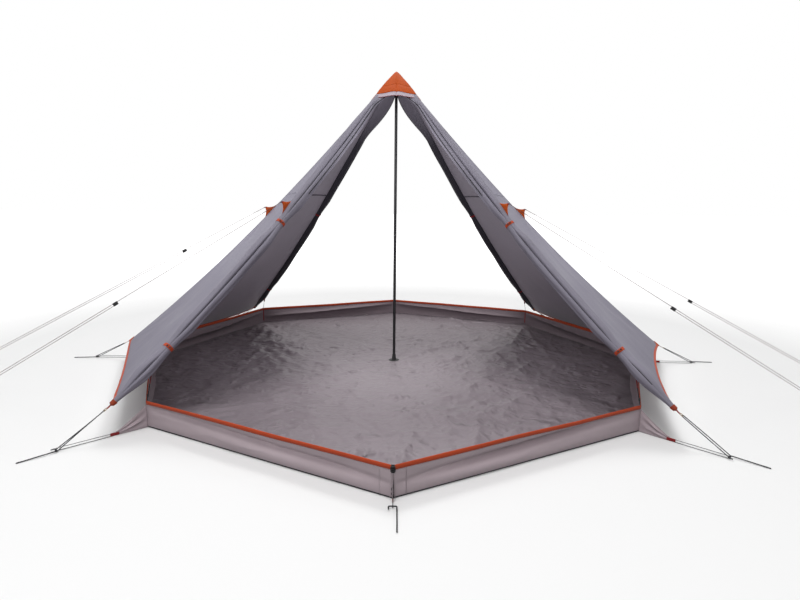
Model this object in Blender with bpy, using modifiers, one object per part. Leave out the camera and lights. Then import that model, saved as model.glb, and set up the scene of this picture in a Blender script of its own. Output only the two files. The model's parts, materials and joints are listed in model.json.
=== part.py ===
# An eight-sided tipi tent on one centre pole, pitched with both doors rolled aside.
# The origin is on the ground under the pole. +Z is up, the front door faces -Y.

import math

import bmesh
import bpy
from mathutils import Matrix, Vector

# Groundsheet tub
tub_radius = 1.98  # from the pole to a corner
front_corner_reach = 0.17  # how much further the front corner is pulled out
wall_height = 0.157
sheet_thickness = 0.002
fold_depth = 0.006  # soft lengthwise folds in the wall
binding_height = 0.020
binding_thickness = 0.001

# Fly
apex_height = 2.25
fly_overhang = 0.18  # of the fly's corners beyond the tub's
front_hem_height = 0.185  # of the fly's corners above the ground
side_hem_height = 0.146
back_hem_height = 0.138
ridge_sag = 0.10  # how far a ridge hangs below its straight line
face_sag = 0.035  # how far the middle of a panel is drawn in
front_hem_cut = 0.025  # how far the hem curves up between corners
back_hem_cut = 0.008
fly_thickness = 0.002
cap_edge_radius = 0.113
cap_overlap = 0.022

# Rolled doors
roll_radius = 0.042
rear_roll_radius = 0.036
tie_radius = 0.030  # of a roll where a tie draws it in
roll_tip_radius = 0.013
tie_width = 0.020
tie_thickness = 0.0015
tie_ramp = 0.16  # length over which a roll swells again
fold_share = 0.13
front_fan_share = 0.15  # of the ridge, over which the door's cloth fans out to the cap
rear_fan_share = 0.26
roll_top_radius = 0.020
upper_tie_share = 0.49
lower_tie_share = 0.85
toggle_length = 0.030
toggle_radius = 0.0040

# Pole
pole_radius = 0.011
pole_wall = 0.001
pole_split_height = 1.05
spigot_length = 0.060
foot_radius = 0.0175
foot_height = 0.050
foot_floor = 0.006  # rubber under the pole's end
pad_radius = 0.044
pad_thickness = 0.003
pocket_wall = 0.003
pocket_depth = 0.045

# Corner tie-outs
wing_length = 0.17
front_wing_length = 0.035
mid_wing_share = 0.42  # the fin's edge is drawn in there
wing_tip_height = 0.022
tab_length = 0.030
loop_height = 0.0165
loop_cord = 0.003
loop_thickness = 0.003
corner_peg_gap = 0.46  # from a tub corner to its peg's hook
front_peg_gap = 0.075  # from a door corner to its peg
strap_width = 0.014
strap_thickness = 0.002
loop_beside = 0.013  # from the strap's eye to the tub's loop on the same peg
strap_patch_height = 0.034
strap_patch_depth = 0.005
strap_eye_wall = 0.0015

# Pegs, laid on the ground beside their loops
peg_length = 0.180
peg_wire_radius = 0.003
peg_hook_span = 0.036
peg_hook_reach = 0.022
peg_hook_height = 0.0092

# Guy lines
guy_share = 0.452  # where the patch sits on its ridge
guy_patch_length = 0.12
guy_patch_reach = 0.048
guy_patch_tip = 0.010
guy_patch_thickness = 0.003
guy_cord_radius = 0.0015
guy_loop_radius = 0.0066  # of the line's middle, where it turns back round its peg
side_peg_reach = 3.29  # of the side lines' pegs, to the side of the pole
side_peg_forward = 0.26  # and in front of it
front_peg_reach = 2.81
front_peg_forward = 0.91
runner_length = 0.034
runner_width = 0.022
runner_thickness = 0.008
runner_hole_gap = 0.0006
runner_shares = {"left": 0.27, "front_left": 0.52, "right": 0.56, "front_right": 0.52}  # of the line, from its patch

gap = 0.0003  # between pieces that touch
seat_gap = 0.0006  # between pieces that touch along a curve
fly_edge_gap = 0.0032  # between a panel's edge and the roll that swells beside it
overrun = 0.001  # how far a cutter runs past a face
weld = 0.00001  # within which the two ends of a ring are joined

top_drop = 0.075  # from the cap's tip to the pole's top
crown_drop = 0.050  # from the cap's tip to the crown of the pole's pocket

corner_names = ("front", "front_right", "right", "back_right", "back", "back_left", "left", "front_left")
corner_count = len(corner_names)
corner_turn = math.tau / corner_count
half_turn = corner_turn / 2
small_share = 0.001
fly_corner_radius = tub_radius + fly_overhang
half_fly = fly_thickness / 2
half_sheet = sheet_thickness / 2
doors = ("front", "back")
guy_names = ("left", "front_left", "right", "front_right")


def clear_scene():
    for old in list(bpy.data.objects):
        bpy.data.objects.remove(old, do_unlink=True)


def new_collection(name):
    made = bpy.data.collections.new(name)
    bpy.context.scene.collection.children.link(made)
    return made


clear_scene()
tent = new_collection("tipi_tent")
cutters = new_collection("cutters")
materials = {}


def material(name, colour, roughness, metallic=0.0):
    if name not in materials:
        made = bpy.data.materials.new(name)
        made.use_nodes = True
        shader = made.node_tree.nodes["Principled BSDF"]
        shader.inputs["Base Color"].default_value = (*colour, 1.0)
        shader.inputs["Roughness"].default_value = roughness
        shader.inputs["Metallic"].default_value = metallic
        materials[name] = made
    return materials[name]


def fly_cloth():
    return material("grey_fly_cloth", (0.27, 0.25, 0.31), 0.75)


def roll_cloth():
    return material("grey_door_cloth", (0.22, 0.20, 0.26), 0.8)


def floor_cloth():
    return material("grey_groundsheet", (0.22, 0.20, 0.22), 0.5)


def wall_cloth():
    return material("grey_tub_wall", (0.32, 0.28, 0.31), 0.6)


def orange_cloth():
    return material("orange_cloth", (0.66, 0.13, 0.03), 0.7)


def black_plastic():
    return material("black_plastic", (0.02, 0.02, 0.022), 0.45)


def black_webbing():
    return material("black_webbing", (0.03, 0.03, 0.033), 0.85)


def pale_cord():
    return material("pale_cord", (0.45, 0.36, 0.35), 0.8)


def black_enamel():
    return material("black_enamel", (0.015, 0.015, 0.017), 0.35, 0.3)


def zinc_steel():
    return material("zinc_steel", (0.55, 0.56, 0.58), 0.35, 1.0)


def black_rubber():
    return material("black_rubber", (0.02, 0.02, 0.02), 0.7)


def add_object(name, data, finish, collection=None):
    made = bpy.data.objects.new(name, data)
    (collection or tent).objects.link(made)
    if finish:
        data.materials.append(finish)
    return made


def add_mesh(name, bm, finish, collection=None, smooth_angle=35):
    mesh = bpy.data.meshes.new(name)
    bm.to_mesh(mesh)
    bm.free()
    mesh.shade_smooth()
    mesh.set_sharp_from_angle(angle=math.radians(smooth_angle))
    return add_object(name, mesh, finish, collection)


def thicken(piece, thickness, offset=0.0):
    solid = piece.modifiers.new("cloth", "SOLIDIFY")
    solid.thickness = thickness
    solid.offset = offset
    solid.use_even_offset = True
    return piece


def heading(angle):
    """Level direction at an angle counted from the front towards the right."""
    return Vector((math.sin(angle), -math.cos(angle), 0))


def corner_angle(name):
    return corner_names.index(name) * corner_turn


def smooth(value):
    value = min(max(value, 0.0), 1.0)
    return value * value * (3 - 2 * value)


# Groundsheet


def tub_corner(index):
    index %= corner_count
    reach = front_corner_reach if corner_names[index] == "front" else 0
    return heading(index * corner_turn) * (tub_radius + reach)


def tub_mitre(index, offset):
    """A corner of the tub's outline, moved out square to both of its sides."""
    here = tub_corner(index)
    before = (here - tub_corner(index - 1)).normalized()
    after = (tub_corner(index + 1) - here).normalized()
    out = (Vector((before.y, -before.x, 0)) + Vector((after.y, -after.x, 0))).normalized()
    return here + out * offset / math.sqrt((1 + before.dot(after)) / 2)


def tub_point(share, offset):
    place = share * corner_count
    index = min(int(place + small_share), corner_count - 1)
    return tub_mitre(index, offset).lerp(tub_mitre(index + 1, offset), place - index)


def grid_piece(name, columns, rows, place, finish, ring=False, smooth_angle=35):
    """A sheet whose grid points are put by place(across, up), both from 0 to 1."""
    bm = bmesh.new()
    bmesh.ops.create_grid(bm, x_segments=columns, y_segments=rows, size=0.5)
    for vert in bm.verts:
        vert.co = place(vert.co.x + 0.5, vert.co.y + 0.5)
    if ring:
        bmesh.ops.remove_doubles(bm, verts=bm.verts, dist=weld)
    return add_mesh(name, bm, finish, smooth_angle=smooth_angle)


def flat_piece(name, outlines, thickness, finish, frame=None):
    """A flat outline, with any holes after it, given a thickness and set in a frame."""
    curve = bpy.data.curves.new(name, "CURVE")
    curve.dimensions = "2D"
    curve.fill_mode = "BOTH"
    curve.extrude = thickness / 2
    for outline in outlines:
        spline = curve.splines.new("POLY")
        spline.points.add(len(outline) - 1)
        for point, place in zip(spline.points, outline):
            point.co = (*place, 0, 1)
        spline.use_cyclic_u = True
    piece = add_object(name, curve, finish)
    if frame:
        piece.matrix_world = frame
    return piece


def make_floor():
    """The floor ends inside the wall, which stands on the ground round it."""
    outline = [tub_mitre(index, -half_sheet - gap).to_2d() for index in range(corner_count)]
    lift = Matrix.Translation((0, 0, half_sheet))
    flat_piece("groundsheet_floor", [outline], sheet_thickness, floor_cloth(), lift)


wall_columns = 6  # to each side
wall_rows = 6


def make_wall():
    """The wall is folded below its binding and straight inside it."""
    top = wall_height - binding_thickness - gap
    folded = wall_height - binding_height - 2 * gap

    def place(across, up):
        row = round(up * wall_rows)
        if row == wall_rows:
            return tub_point(across, 0) + Vector((0, 0, top))
        rise = row / (wall_rows - 1)
        side = (across * corner_count) % 1
        ease = math.sin(math.pi * side) ** 2 * math.sin(math.pi * rise)
        fold = fold_depth * ease * math.sin(math.tau * 2 * rise + 3 * math.pi * side)
        return tub_point(across, fold) + Vector((0, 0, gap + rise * folded))

    wall = grid_piece("tub_wall", wall_columns * corner_count, wall_rows, place, wall_cloth(), ring=True)
    thicken(wall, sheet_thickness)


def make_binding():
    """Orange tape folded over the wall's top edge."""
    side_offset = half_sheet + gap + binding_thickness / 2
    low = wall_height - binding_height
    high = wall_height - binding_thickness / 2
    section = ((side_offset, low), (side_offset, high), (-side_offset, high), (-side_offset, low))
    rows = len(section) - 1

    def place(across, up):
        offset, height = section[round(up * rows)]
        return tub_point(across, offset) + Vector((0, 0, height))

    binding = grid_piece("tub_binding", corner_count, rows, place, orange_cloth(), ring=True)
    thicken(binding, binding_thickness)


# Corner tie-outs


def level_side(angle):
    """Level direction to the left of one who looks out along a heading."""
    return Vector((0, 0, 1)).cross(heading(angle))


def upright_frame(origin, out, up=Vector((0, 0, 1))):
    """A frame whose x runs along out and whose y is up."""
    frame = Matrix((out, up, out.cross(up))).transposed().to_4x4()
    frame.translation = origin
    return frame


def peg_distance(name):
    return tub_corner(corner_names.index(name)).length + (front_peg_gap if name in doors else corner_peg_gap)


def make_wing(name):
    """A fin of wall cloth, its webbing tab and the cord loop that takes the peg."""
    angle = corner_angle(name)
    is_door = name in doors
    begin = heading(angle) * tub_mitre(corner_names.index(name), half_sheet + gap).length
    target = heading(angle) * peg_distance(name) - level_side(angle) * (0 if is_door else loop_beside)
    out = (target - begin).normalized()
    length = front_wing_length if is_door else wing_length
    top = wall_height - binding_height - gap
    reach = (target - begin).length + peg_wire_radius + gap + loop_cord
    tab_end = length + (0 if is_door else tab_length)
    low = 2 * gap
    high = low + loop_height
    outline = [(0, low), (0, top), (length * mid_wing_share, top * mid_wing_share), (length, wing_tip_height)]
    outline += [(tab_end, high), (reach - loop_cord, high), (reach, high - loop_cord)]
    outline += [(reach, low + loop_cord), (reach - loop_cord, low)]
    eye_start = tab_end + loop_cord
    eye_end = reach - loop_cord
    eye = [(eye_start, low + loop_cord), (eye_end, low + loop_cord)]
    eye += [(eye_end, high - loop_cord), (eye_start, high - loop_cord)]
    frame = upright_frame(begin, out)
    flat_piece(f"tub_wing_{name}", [outline, eye], loop_thickness, wall_cloth(), frame)


def wire(name, points, radius, finish, sides=2, ring=False):
    """A round wire or cord along points."""
    curve = bpy.data.curves.new(name, "CURVE")
    curve.dimensions = "3D"
    curve.bevel_depth = radius
    curve.bevel_resolution = sides
    curve.use_fill_caps = True
    spline = curve.splines.new("POLY")
    spline.points.add(len(points) - 1)
    for point, place in zip(spline.points, points):
        point.co = (*place, 1)
    spline.use_cyclic_u = ring
    return add_object(name, curve, finish)


bend_steps = 5


def bend(centre, start_angle, end_angle, radius):
    """Points of an arc in the level plane of a peg."""
    points = []
    for step in range(bend_steps + 1):
        angle = start_angle + (end_angle - start_angle) * step / bend_steps
        points.append((centre[0] + radius * math.cos(angle), centre[1] + radius * math.sin(angle)))
    return points


def make_peg(name, hook, out):
    """A wire peg on the ground: its hook holds the loops, its point lies outwards."""
    side = Vector((0, 0, 1)).cross(out)
    half = peg_hook_span / 2
    turn = peg_wire_radius * 2
    flat = [(peg_hook_reach, -half), (turn, -half)]
    flat += bend((turn, -half + turn), -math.pi / 2, -math.pi, turn)[1:]
    flat += bend((turn, half - turn), math.pi, math.pi / 2, turn)
    flat += [(peg_length, half)]
    points = []
    for reach, across in flat:
        height = peg_hook_height + (peg_wire_radius + gap - peg_hook_height) * max(reach, 0) / peg_length
        points.append(hook + out * reach + side * across + Vector((0, 0, height)))
    return wire(name, points, peg_wire_radius, zinc_steel(), sides=1)


def make_corner_peg(name):
    angle = corner_angle(name)
    beside = 0 if name in doors else loop_beside / 2
    hook = heading(angle) * peg_distance(name) - level_side(angle) * beside
    make_peg(f"corner_peg_{name}", hook, heading(angle))


# Fly


hem_heights = {"front": front_hem_height, "back": back_hem_height}


def hem_height(angle):
    """Height of a ridge's lower end."""
    corner = corner_names[round(angle / corner_turn) % corner_count]
    return hem_heights.get(corner.split("_")[0], side_hem_height)


def ridge_height(angle, share):
    chord = apex_height + (hem_height(angle) - apex_height) * share
    return chord - 4 * ridge_sag * share * (1 - share)


def ridge_slope(angle, share):
    """Rise of a ridge per metre outwards."""
    rise = hem_height(angle) - apex_height - 4 * ridge_sag * (1 - 2 * share)
    return rise / fly_corner_radius


def ridge_point(angle, share, lift=0.0):
    """A point on a ridge, raised square to it by lift."""
    tilt = math.atan(ridge_slope(angle, share))
    level = fly_corner_radius * share - lift * math.sin(tilt)
    return heading(angle) * level + Vector((0, 0, ridge_height(angle, share) + lift * math.cos(tilt)))


def panel_point(angle, share, across, lift=0.0, sag=face_sag):
    """A point on the panel after the ridge at angle, across it from 0 to 1."""
    first = ridge_point(angle, share, lift)
    second = ridge_point(angle + corner_turn, share, lift)
    drawn_in = 4 * sag * across * (1 - across) * share
    return first.lerp(second, across) - heading(angle + half_turn) * drawn_in


def ridge_length():
    steps = 40
    places = [ridge_point(0, step / steps) for step in range(steps + 1)]
    return sum((b - a).length for a, b in zip(places, places[1:]))


fly_columns = 7  # to each panel
ridge_run = ridge_length()
cap_edge_share = cap_edge_radius / fly_corner_radius
fly_top_share = (cap_edge_radius - cap_overlap) / fly_corner_radius
roll_start_share = cap_edge_share + (roll_top_radius + gap) / ridge_run
roll_swell_share = 0.16  # of the ridge, over which a roll swells below the cap
roll_hem_share = 0.09  # of the ridge, over which it narrows to the hem


def tie_distance(share):
    return min(abs(share - upper_tie_share), abs(share - lower_tie_share)) * ridge_run


def roll_size(share, full):
    """Radius of a rolled door along its ridge and how strongly it is folded there."""
    swell = smooth((share - roll_start_share) / roll_swell_share)
    narrow = smooth((1 - share) / roll_hem_share)
    ease = smooth((tie_distance(share) - tie_width) / tie_ramp)
    size = tie_radius + (full - tie_radius) * ease
    size = roll_top_radius + (size - roll_top_radius) * swell
    size = roll_tip_radius + (size - roll_tip_radius) * narrow
    return size, ease * swell * narrow


def band_radius():
    """Inner radius of the band of tape round a tied roll, at its corners."""
    return (tie_radius + gap) / math.cos(math.pi / tie_sides)


def border(share, full):
    """How far a panel's edge stays from the ridge beside a rolled door, measured level."""
    lean = math.sin(half_turn) * math.cos(math.atan(ridge_slope(0, share)))
    nearest = share - full * lean / ridge_run
    sizes = [band_radius() + tie_thickness if tie_distance(share) < tie_width else 0]
    for place in (share, nearest):
        size, folds = roll_size(max(place, roll_start_share), full)
        sizes.append(size * (1 + fold_share * folds))
    return (max(sizes) + fly_edge_gap) / math.sqrt(1 - lean * lean)


def roll_shares():
    """Places of a roll's sections, with one at each edge of a tie."""
    edges = [tie + way * tie_width / ridge_run for tie in (upper_tie_share, lower_tie_share) for way in (-1, 1)]
    shares = [roll_start_share + (1 - roll_start_share) * step / roll_sections for step in range(roll_sections + 1)]
    clear = [share for share in shares if tie_distance(share) > 2 * tie_width]
    return sorted(clear + edges)


roll_sections = 24


def make_fly_side(name, first_angle, fulls, cuts):
    """Two panels that meet on the side ridge, between two rolled doors."""
    shares = [fly_top_share] + roll_shares()

    def place(across, up):
        panel = min(int(across * 2 + small_share), 1)
        inside = across * 2 - panel
        share = shares[round((1 - up) * (len(shares) - 1))]
        width = 2 * fly_corner_radius * share * math.sin(half_turn)
        edge = border(share, fulls[panel]) / width
        inside = edge + inside * (1 - edge) if panel == 0 else inside * (1 - edge)
        hem = smooth((share - hem_start_share) / (1 - hem_start_share))
        share -= 4 * cuts[panel] / ridge_run * inside * (1 - inside) * hem
        return panel_point(first_angle + panel * corner_turn, share, inside)

    side = grid_piece(name, 2 * fly_columns, len(shares) - 1, place, fly_cloth(), smooth_angle=20)
    thicken(side, fly_thickness)


hem_start_share = 0.7  # the panel's threads follow the hem's curve below this


roll_sides = 14


def fold_wave(turn, share):
    """The folds wind slowly round the roll."""
    return math.cos(3 * turn + math.tau * share)


def door_angle(corner):
    """Heading of the middle of the door that a roll belongs to."""
    return corner_angle(corner.split("_")[0])


def fan_width(share, fan_share):
    """How far the door's cloth reaches towards the doorway's middle, where it fans out below the cap."""
    half_door = 2 * fly_corner_radius * share * math.sin(half_turn)
    fade = min((share - roll_start_share) / (fan_share - roll_start_share), 1)
    return half_door * (1 - fade) ** 2 - fly_edge_gap


def make_roll(name, corner, full):
    """A door half gathered along its ridge in soft folds."""
    angle = corner_angle(corner)
    shares = roll_shares()
    doorway = (heading(door_angle(corner)) - heading(angle)).normalized()
    side = level_side(angle)
    if side.dot(doorway) > 0:
        side.negate()
    fan_share = front_fan_share if corner.startswith("front") else rear_fan_share

    def place(across, up):
        share = shares[round(up * (len(shares) - 1))]
        size, folds = roll_size(share, full)
        turn = across * math.tau
        size *= 1 + fold_share * folds * fold_wave(turn, share)
        place = ridge_point(angle, share, size * math.cos(turn)) + side * size * math.sin(turn)
        fan = max(0, fan_width(share, fan_share) - size)
        along = (ridge_point(angle, share + small_share) - ridge_point(angle, share)).normalized()
        spread = (doorway - along * doorway.dot(along)).normalized()
        return place + spread * fan * max(0, -math.sin(turn)) ** 2

    bm = bmesh.new()
    bmesh.ops.create_grid(bm, x_segments=roll_sides, y_segments=len(shares) - 1, size=0.5)
    for vert in bm.verts:
        vert.co = place(vert.co.x + 0.5, vert.co.y + 0.5)
    bmesh.ops.remove_doubles(bm, verts=bm.verts, dist=weld)
    rims = [edge for edge in bm.edges if edge.is_boundary]
    bmesh.ops.holes_fill(bm, edges=rims, sides=0)
    bmesh.ops.recalc_face_normals(bm, faces=bm.faces)
    add_mesh(name, bm, roll_cloth(), smooth_angle=60)


def ridge_frame(angle, share, lift=0.0):
    """A frame on a ridge: x up the slope square to it, z along it towards the apex."""
    centre = ridge_point(angle, share)
    raised = (ridge_point(angle, share, 1.0) - centre).normalized()
    along = (ridge_point(angle, share - small_share) - centre).normalized()
    side = along.cross(raised)
    frame = Matrix((raised, side, along)).transposed().to_4x4()
    frame.translation = centre + raised * lift
    return frame


tie_sides = 16


def make_tie(name, corner, share):
    """A band of orange tape round a roll, and the toggle that closes it."""
    inner = band_radius()
    frame = ridge_frame(corner_angle(corner), share)
    bm = bmesh.new()
    bmesh.ops.create_cone(bm, cap_ends=False, segments=tie_sides, radius1=inner, radius2=inner, depth=tie_width)
    band = add_mesh(f"roll_tie_{name}", bm, orange_cloth())
    band.matrix_world = frame
    thicken(band, tie_thickness, 1.0)
    make_toggle(name, frame, inner + tie_thickness)


def make_toggle(name, frame, band_radius):
    """A small barrel that lies across the tie and swivels in its loop."""
    bm = bmesh.new()
    bmesh.ops.create_cone(bm, cap_ends=True, segments=12, radius1=toggle_radius, radius2=toggle_radius,
                          depth=toggle_length)
    toggle = add_mesh(f"toggle_{name}", bm, black_plastic())
    lift = band_radius + gap + toggle_radius
    mirror = -1 if name.endswith("right") else 1
    local = Matrix.Rotation(toggle_turn * mirror, 4, "Z") @ Matrix.Translation((lift, 0, 0))
    toggle.matrix_world = frame @ local @ Matrix.Rotation(math.pi / 2, 4, "X")


toggle_turn = math.radians(60)  # round the roll from its top, to face the doorway


# Cap, pocket and pole


def make_cap():
    """An eight-sided cone of orange cloth that lies on the tops of the panels."""
    lift = half_fly + seat_gap + half_fly
    rows = 4
    tip_share = fly_thickness / fly_corner_radius

    def place(across, up):
        place_round = across * corner_count
        index = min(int(place_round + small_share), corner_count - 1)
        share = cap_edge_share + (tip_share - cap_edge_share) * up
        return panel_point(index * corner_turn, share, place_round - index, lift, sag=0)

    cap = grid_piece("apex_cap", corner_count, rows, place, orange_cloth(), ring=True)
    thicken(cap, fly_thickness)


def turned(name, profile, finish, steps=24):
    """A profile of (radius, height) points, outer side first and top to bottom, spun round the pole."""
    mesh = bpy.data.meshes.new(name)
    edges = [(first, (first + 1) % len(profile)) for first in range(len(profile))]
    mesh.from_pydata([(radius, 0, height) for radius, height in profile], edges, [])
    piece = add_object(name, mesh, finish)
    spin = piece.modifiers.new("turn", "SCREW")
    spin.steps = steps
    spin.render_steps = steps
    spin.use_merge_vertices = True
    spin.merge_threshold = weld
    spin.use_smooth_shade = False
    return piece


pole_bottom = sheet_thickness + gap + foot_floor + gap
pole_top = apex_height - top_drop


def make_pole():
    """Two tubes: the upper one's spigot plugs into the lower one."""
    socket_radius = pole_radius - pole_wall
    spigot_radius = socket_radius - gap
    low = pole_split_height + gap
    socket_floor = pole_split_height - spigot_length - gap
    lower = [(pole_radius, pole_split_height), (pole_radius, pole_bottom), (0, pole_bottom)]
    lower += [(0, socket_floor), (socket_radius, socket_floor), (socket_radius, pole_split_height)]
    turned("pole_lower", lower, black_enamel())
    upper = [(0, pole_top), (pole_radius, pole_top), (pole_radius, low), (spigot_radius, low)]
    upper += [(spigot_radius, low - spigot_length), (0, low - spigot_length)]
    turned("pole_upper", upper, black_enamel())


def make_foot():
    """A flared rubber foot on a round pad."""
    base = sheet_thickness + gap
    inner = pole_radius + gap
    neck = inner + pole_wall * 2
    profile = [(neck, base + foot_height), (foot_radius, base + pad_thickness * 2)]
    profile += [(foot_radius, base + pad_thickness), (pad_radius, base + pad_thickness), (pad_radius, base)]
    profile += [(0, base), (0, base + foot_floor), (inner, base + foot_floor), (inner, base + foot_height)]
    turned("pole_foot", profile, black_rubber())


def share_at(height):
    """Share at which the lowest ridges have a given height."""
    low, high = 0.0, 1.0
    for _ in range(40):
        middle = (low + high) / 2
        low, high = (middle, high) if ridge_height(corner_angle("back"), middle) > height else (low, middle)
    return low


def inside_cap(height):
    """Radius of a round piece that rests against the cap's inner face."""
    return fly_corner_radius * share_at(height) * math.cos(half_turn) + half_fly


def make_pocket():
    """A cup sewn up into the cap, which takes the pole's tip."""
    inner = pole_radius + gap
    outer = inner + pocket_wall
    ceiling = pole_top + gap
    crown = apex_height - crown_drop
    rim = pole_top - pocket_depth
    profile = [(0, crown), (inside_cap(crown), crown), (inside_cap(pole_top), pole_top)]
    profile += [(outer, pole_top - pocket_wall), (outer, rim), (inner, rim), (inner, ceiling), (0, ceiling)]
    turned("apex_pocket", profile, black_webbing())


# Fly corner straps


eye_points = 10


def circle(centre, radius, start, end, count):
    points = []
    for step in range(count):
        angle = start + (end - start) * step / (count - 1)
        points.append((centre[0] + radius * math.cos(angle), centre[1] + radius * math.sin(angle)))
    return points


def make_strap(name):
    """A patch on the fly's corner, with a strap that ends in an eye round the peg."""
    angle = corner_angle(name)
    tilt = math.atan(ridge_slope(angle, 1))
    along = heading(angle) * math.cos(tilt) + Vector((0, 0, math.sin(tilt)))
    up = heading(angle) * -math.sin(tilt) + Vector((0, 0, math.cos(tilt)))
    corner = ridge_point(angle, 1)
    reach = heading(angle) * peg_distance(name) + Vector((0, 0, peg_hook_height)) - corner
    eye = (reach.dot(along), reach.dot(up))
    inner = (peg_wire_radius + gap) / math.cos(math.pi / eye_points)
    outer = inner + strap_eye_wall
    half = strap_thickness / 2
    high = strap_patch_height / 2
    near = seat_gap
    far = seat_gap + strap_patch_depth
    open_angle = math.asin(half / outer)
    outline = [(near, -high), (far, -high), (far, -half)]
    outline += circle(eye, outer, open_angle - math.pi, math.pi - open_angle, eye_points)
    outline += [(far, half), (far, high), (near, high)]
    hole = circle(eye, inner, 0, math.tau, eye_points + 1)[:-1]
    frame = upright_frame(corner, along, up)
    flat_piece(f"corner_strap_{name}", [outline, hole], strap_width, orange_cloth(), frame)


# Guy lines


def roll_top(angle, share, full):
    """Where the upper edge of a roll's solid lies, between two of its sections."""
    shares = roll_shares()
    after = next(index for index, value in enumerate(shares) if value >= share)
    ends = []
    for value in shares[after - 1 : after + 1]:
        size, folds = roll_size(value, full)
        ends.append(ridge_point(angle, value, size * (1 + fold_share * folds * fold_wave(0, value))))
    return ends[0].lerp(ends[1], (share - shares[after - 1]) / (shares[after] - shares[after - 1]))


def patch_seat(name):
    """The line on the ridge or on its roll where a guy patch is sewn."""
    angle = corner_angle(name)
    half = guy_patch_length / 2 / ridge_run
    ends = (guy_share - half, guy_share + half)
    if name.startswith("front"):
        inner = [share for share in roll_shares() if ends[0] < share < ends[1]]
        return [roll_top(angle, share, roll_radius) for share in (ends[0], *inner, ends[1])]
    return [ridge_point(angle, share, half_fly) for share in ends]


def patch_tip(name):
    """Frame of a guy patch: x runs down the ridge, y stands square to it."""
    angle = corner_angle(name)
    tilt = math.atan(ridge_slope(angle, guy_share))
    along = heading(angle) * math.cos(tilt) + Vector((0, 0, math.sin(tilt)))
    up = heading(angle) * -math.sin(tilt) + Vector((0, 0, math.cos(tilt)))
    return along, up


def make_patch(name):
    """A fin of orange cloth sewn to the ridge; returns where its line is tied."""
    along, up = patch_tip(name)
    seat = patch_seat(name)
    origin = seat[0]
    base = [((place - origin).dot(along), (place - origin).dot(up) + seat_gap) for place in seat]
    middle = guy_patch_length / 2
    half = guy_patch_tip / 2
    crest = max(height for _, height in base) + guy_patch_reach
    outline = base + [(middle + 2 * half, crest), (middle, crest)]
    frame = upright_frame(origin, along, up)
    flat_piece(f"guy_patch_{name}", [outline], guy_patch_thickness, orange_cloth(), frame)
    return frame @ Vector((middle + half, crest + gap + guy_cord_radius, 0))


def guy_peg_place(name):
    reach, forward = side_peg_reach, side_peg_forward
    if name.startswith("front"):
        reach, forward = front_peg_reach, front_peg_forward
    return Vector((-reach if name.endswith("left") else reach, -forward, 0))


strand_steps = 8
loop_steps = 8


def make_guy(name):
    """A line tied to its patch, round the peg and back up to its runner; its hook is the loop's middle."""
    tie = make_patch(name)
    ground = guy_peg_place(name)
    out = (ground - tie).to_2d().normalized().to_3d()
    hook = ground + Vector((0, 0, peg_hook_height))
    radius = guy_loop_radius
    slack = radius - peg_wire_radius - gap - guy_cord_radius
    hook -= (hook - tie).normalized() * slack
    straight = hook - tie
    turn = math.asin(radius / straight.length)
    side = Vector((0, 0, 1)).cross(out)
    down = Matrix.Rotation(-turn, 3, side) @ straight.normalized()
    normal = down.cross(side)
    run = math.sqrt(straight.length_squared - radius * radius)
    runner_start = run * runner_shares[name]
    points = [tie + down * run * step / strand_steps for step in range(strand_steps)]
    for step in range(loop_steps + 1):
        angle = math.pi * step / loop_steps
        points.append(hook + (normal * math.cos(angle) + down * math.sin(angle)) * radius)
    tail = run - runner_start - runner_length - gap
    points += [hook - normal * radius - down * tail * step / strand_steps for step in range(1, strand_steps + 1)]
    wire(f"guy_line_{name}", points, guy_cord_radius, pale_cord(), sides=2)
    make_runner(name, tie + down * (runner_start + runner_length / 2) - normal * radius, down, normal, radius)
    make_peg(f"guy_peg_{name}", ground, out)


def make_runner(name, centre, along, up, hole_offset):
    """A flat bar with a hole that the line runs through."""
    frame = upright_frame(centre, along, up)
    bm = bmesh.new()
    size = Matrix.Diagonal((runner_length, runner_width, runner_thickness, 1))
    bmesh.ops.create_cube(bm, size=1, matrix=size)
    runner = add_mesh(f"guy_runner_{name}", bm, black_plastic())
    runner.matrix_world = frame
    hole = guy_cord_radius + runner_hole_gap
    bm = bmesh.new()
    bmesh.ops.create_cone(bm, cap_ends=True, segments=12, radius1=hole, radius2=hole,
                          depth=runner_length + 2 * overrun)
    cutter = add_mesh(f"runner_hole_{name}", bm, None, cutters)
    cutter.matrix_world = frame @ Matrix.Translation((0, hole_offset, 0)) @ Matrix.Rotation(math.pi / 2, 4, "Y")
    cutter.hide_render = True
    cutter.display_type = "WIRE"
    cut = runner.modifiers.new("hole", "BOOLEAN")
    cut.operation = "DIFFERENCE"
    cut.object = cutter


def build_tent():
    make_floor()
    make_wall()
    make_binding()
    for name in corner_names:
        make_wing(name)
        make_corner_peg(name)
        if name not in doors:
            make_strap(name)
    fulls = (roll_radius, rear_roll_radius)
    cuts = (front_hem_cut, back_hem_cut)
    make_fly_side("fly_right", corner_angle("front_right"), fulls, cuts)
    make_fly_side("fly_left", corner_angle("back_left"), fulls[::-1], cuts[::-1])
    for corner in ("front_left", "front_right"):
        make_roll(f"door_roll_{corner}", corner, roll_radius)
        for level, share in (("upper", upper_tie_share), ("lower", lower_tie_share)):
            make_tie(f"{level}_{corner.split('_')[1]}", corner, share)
    for corner in ("back_left", "back_right"):
        make_roll(f"door_roll_{corner}", corner, rear_roll_radius)
    make_cap()
    make_pocket()
    make_pole()
    make_foot()
    for name in guy_names:
        make_guy(name)


build_tent()
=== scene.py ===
# Looks for an eight-sided tipi tent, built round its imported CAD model.
# Metres throughout. +Z is up, the front door faces -Y, the pole stands at the origin.

import json
import math

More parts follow.
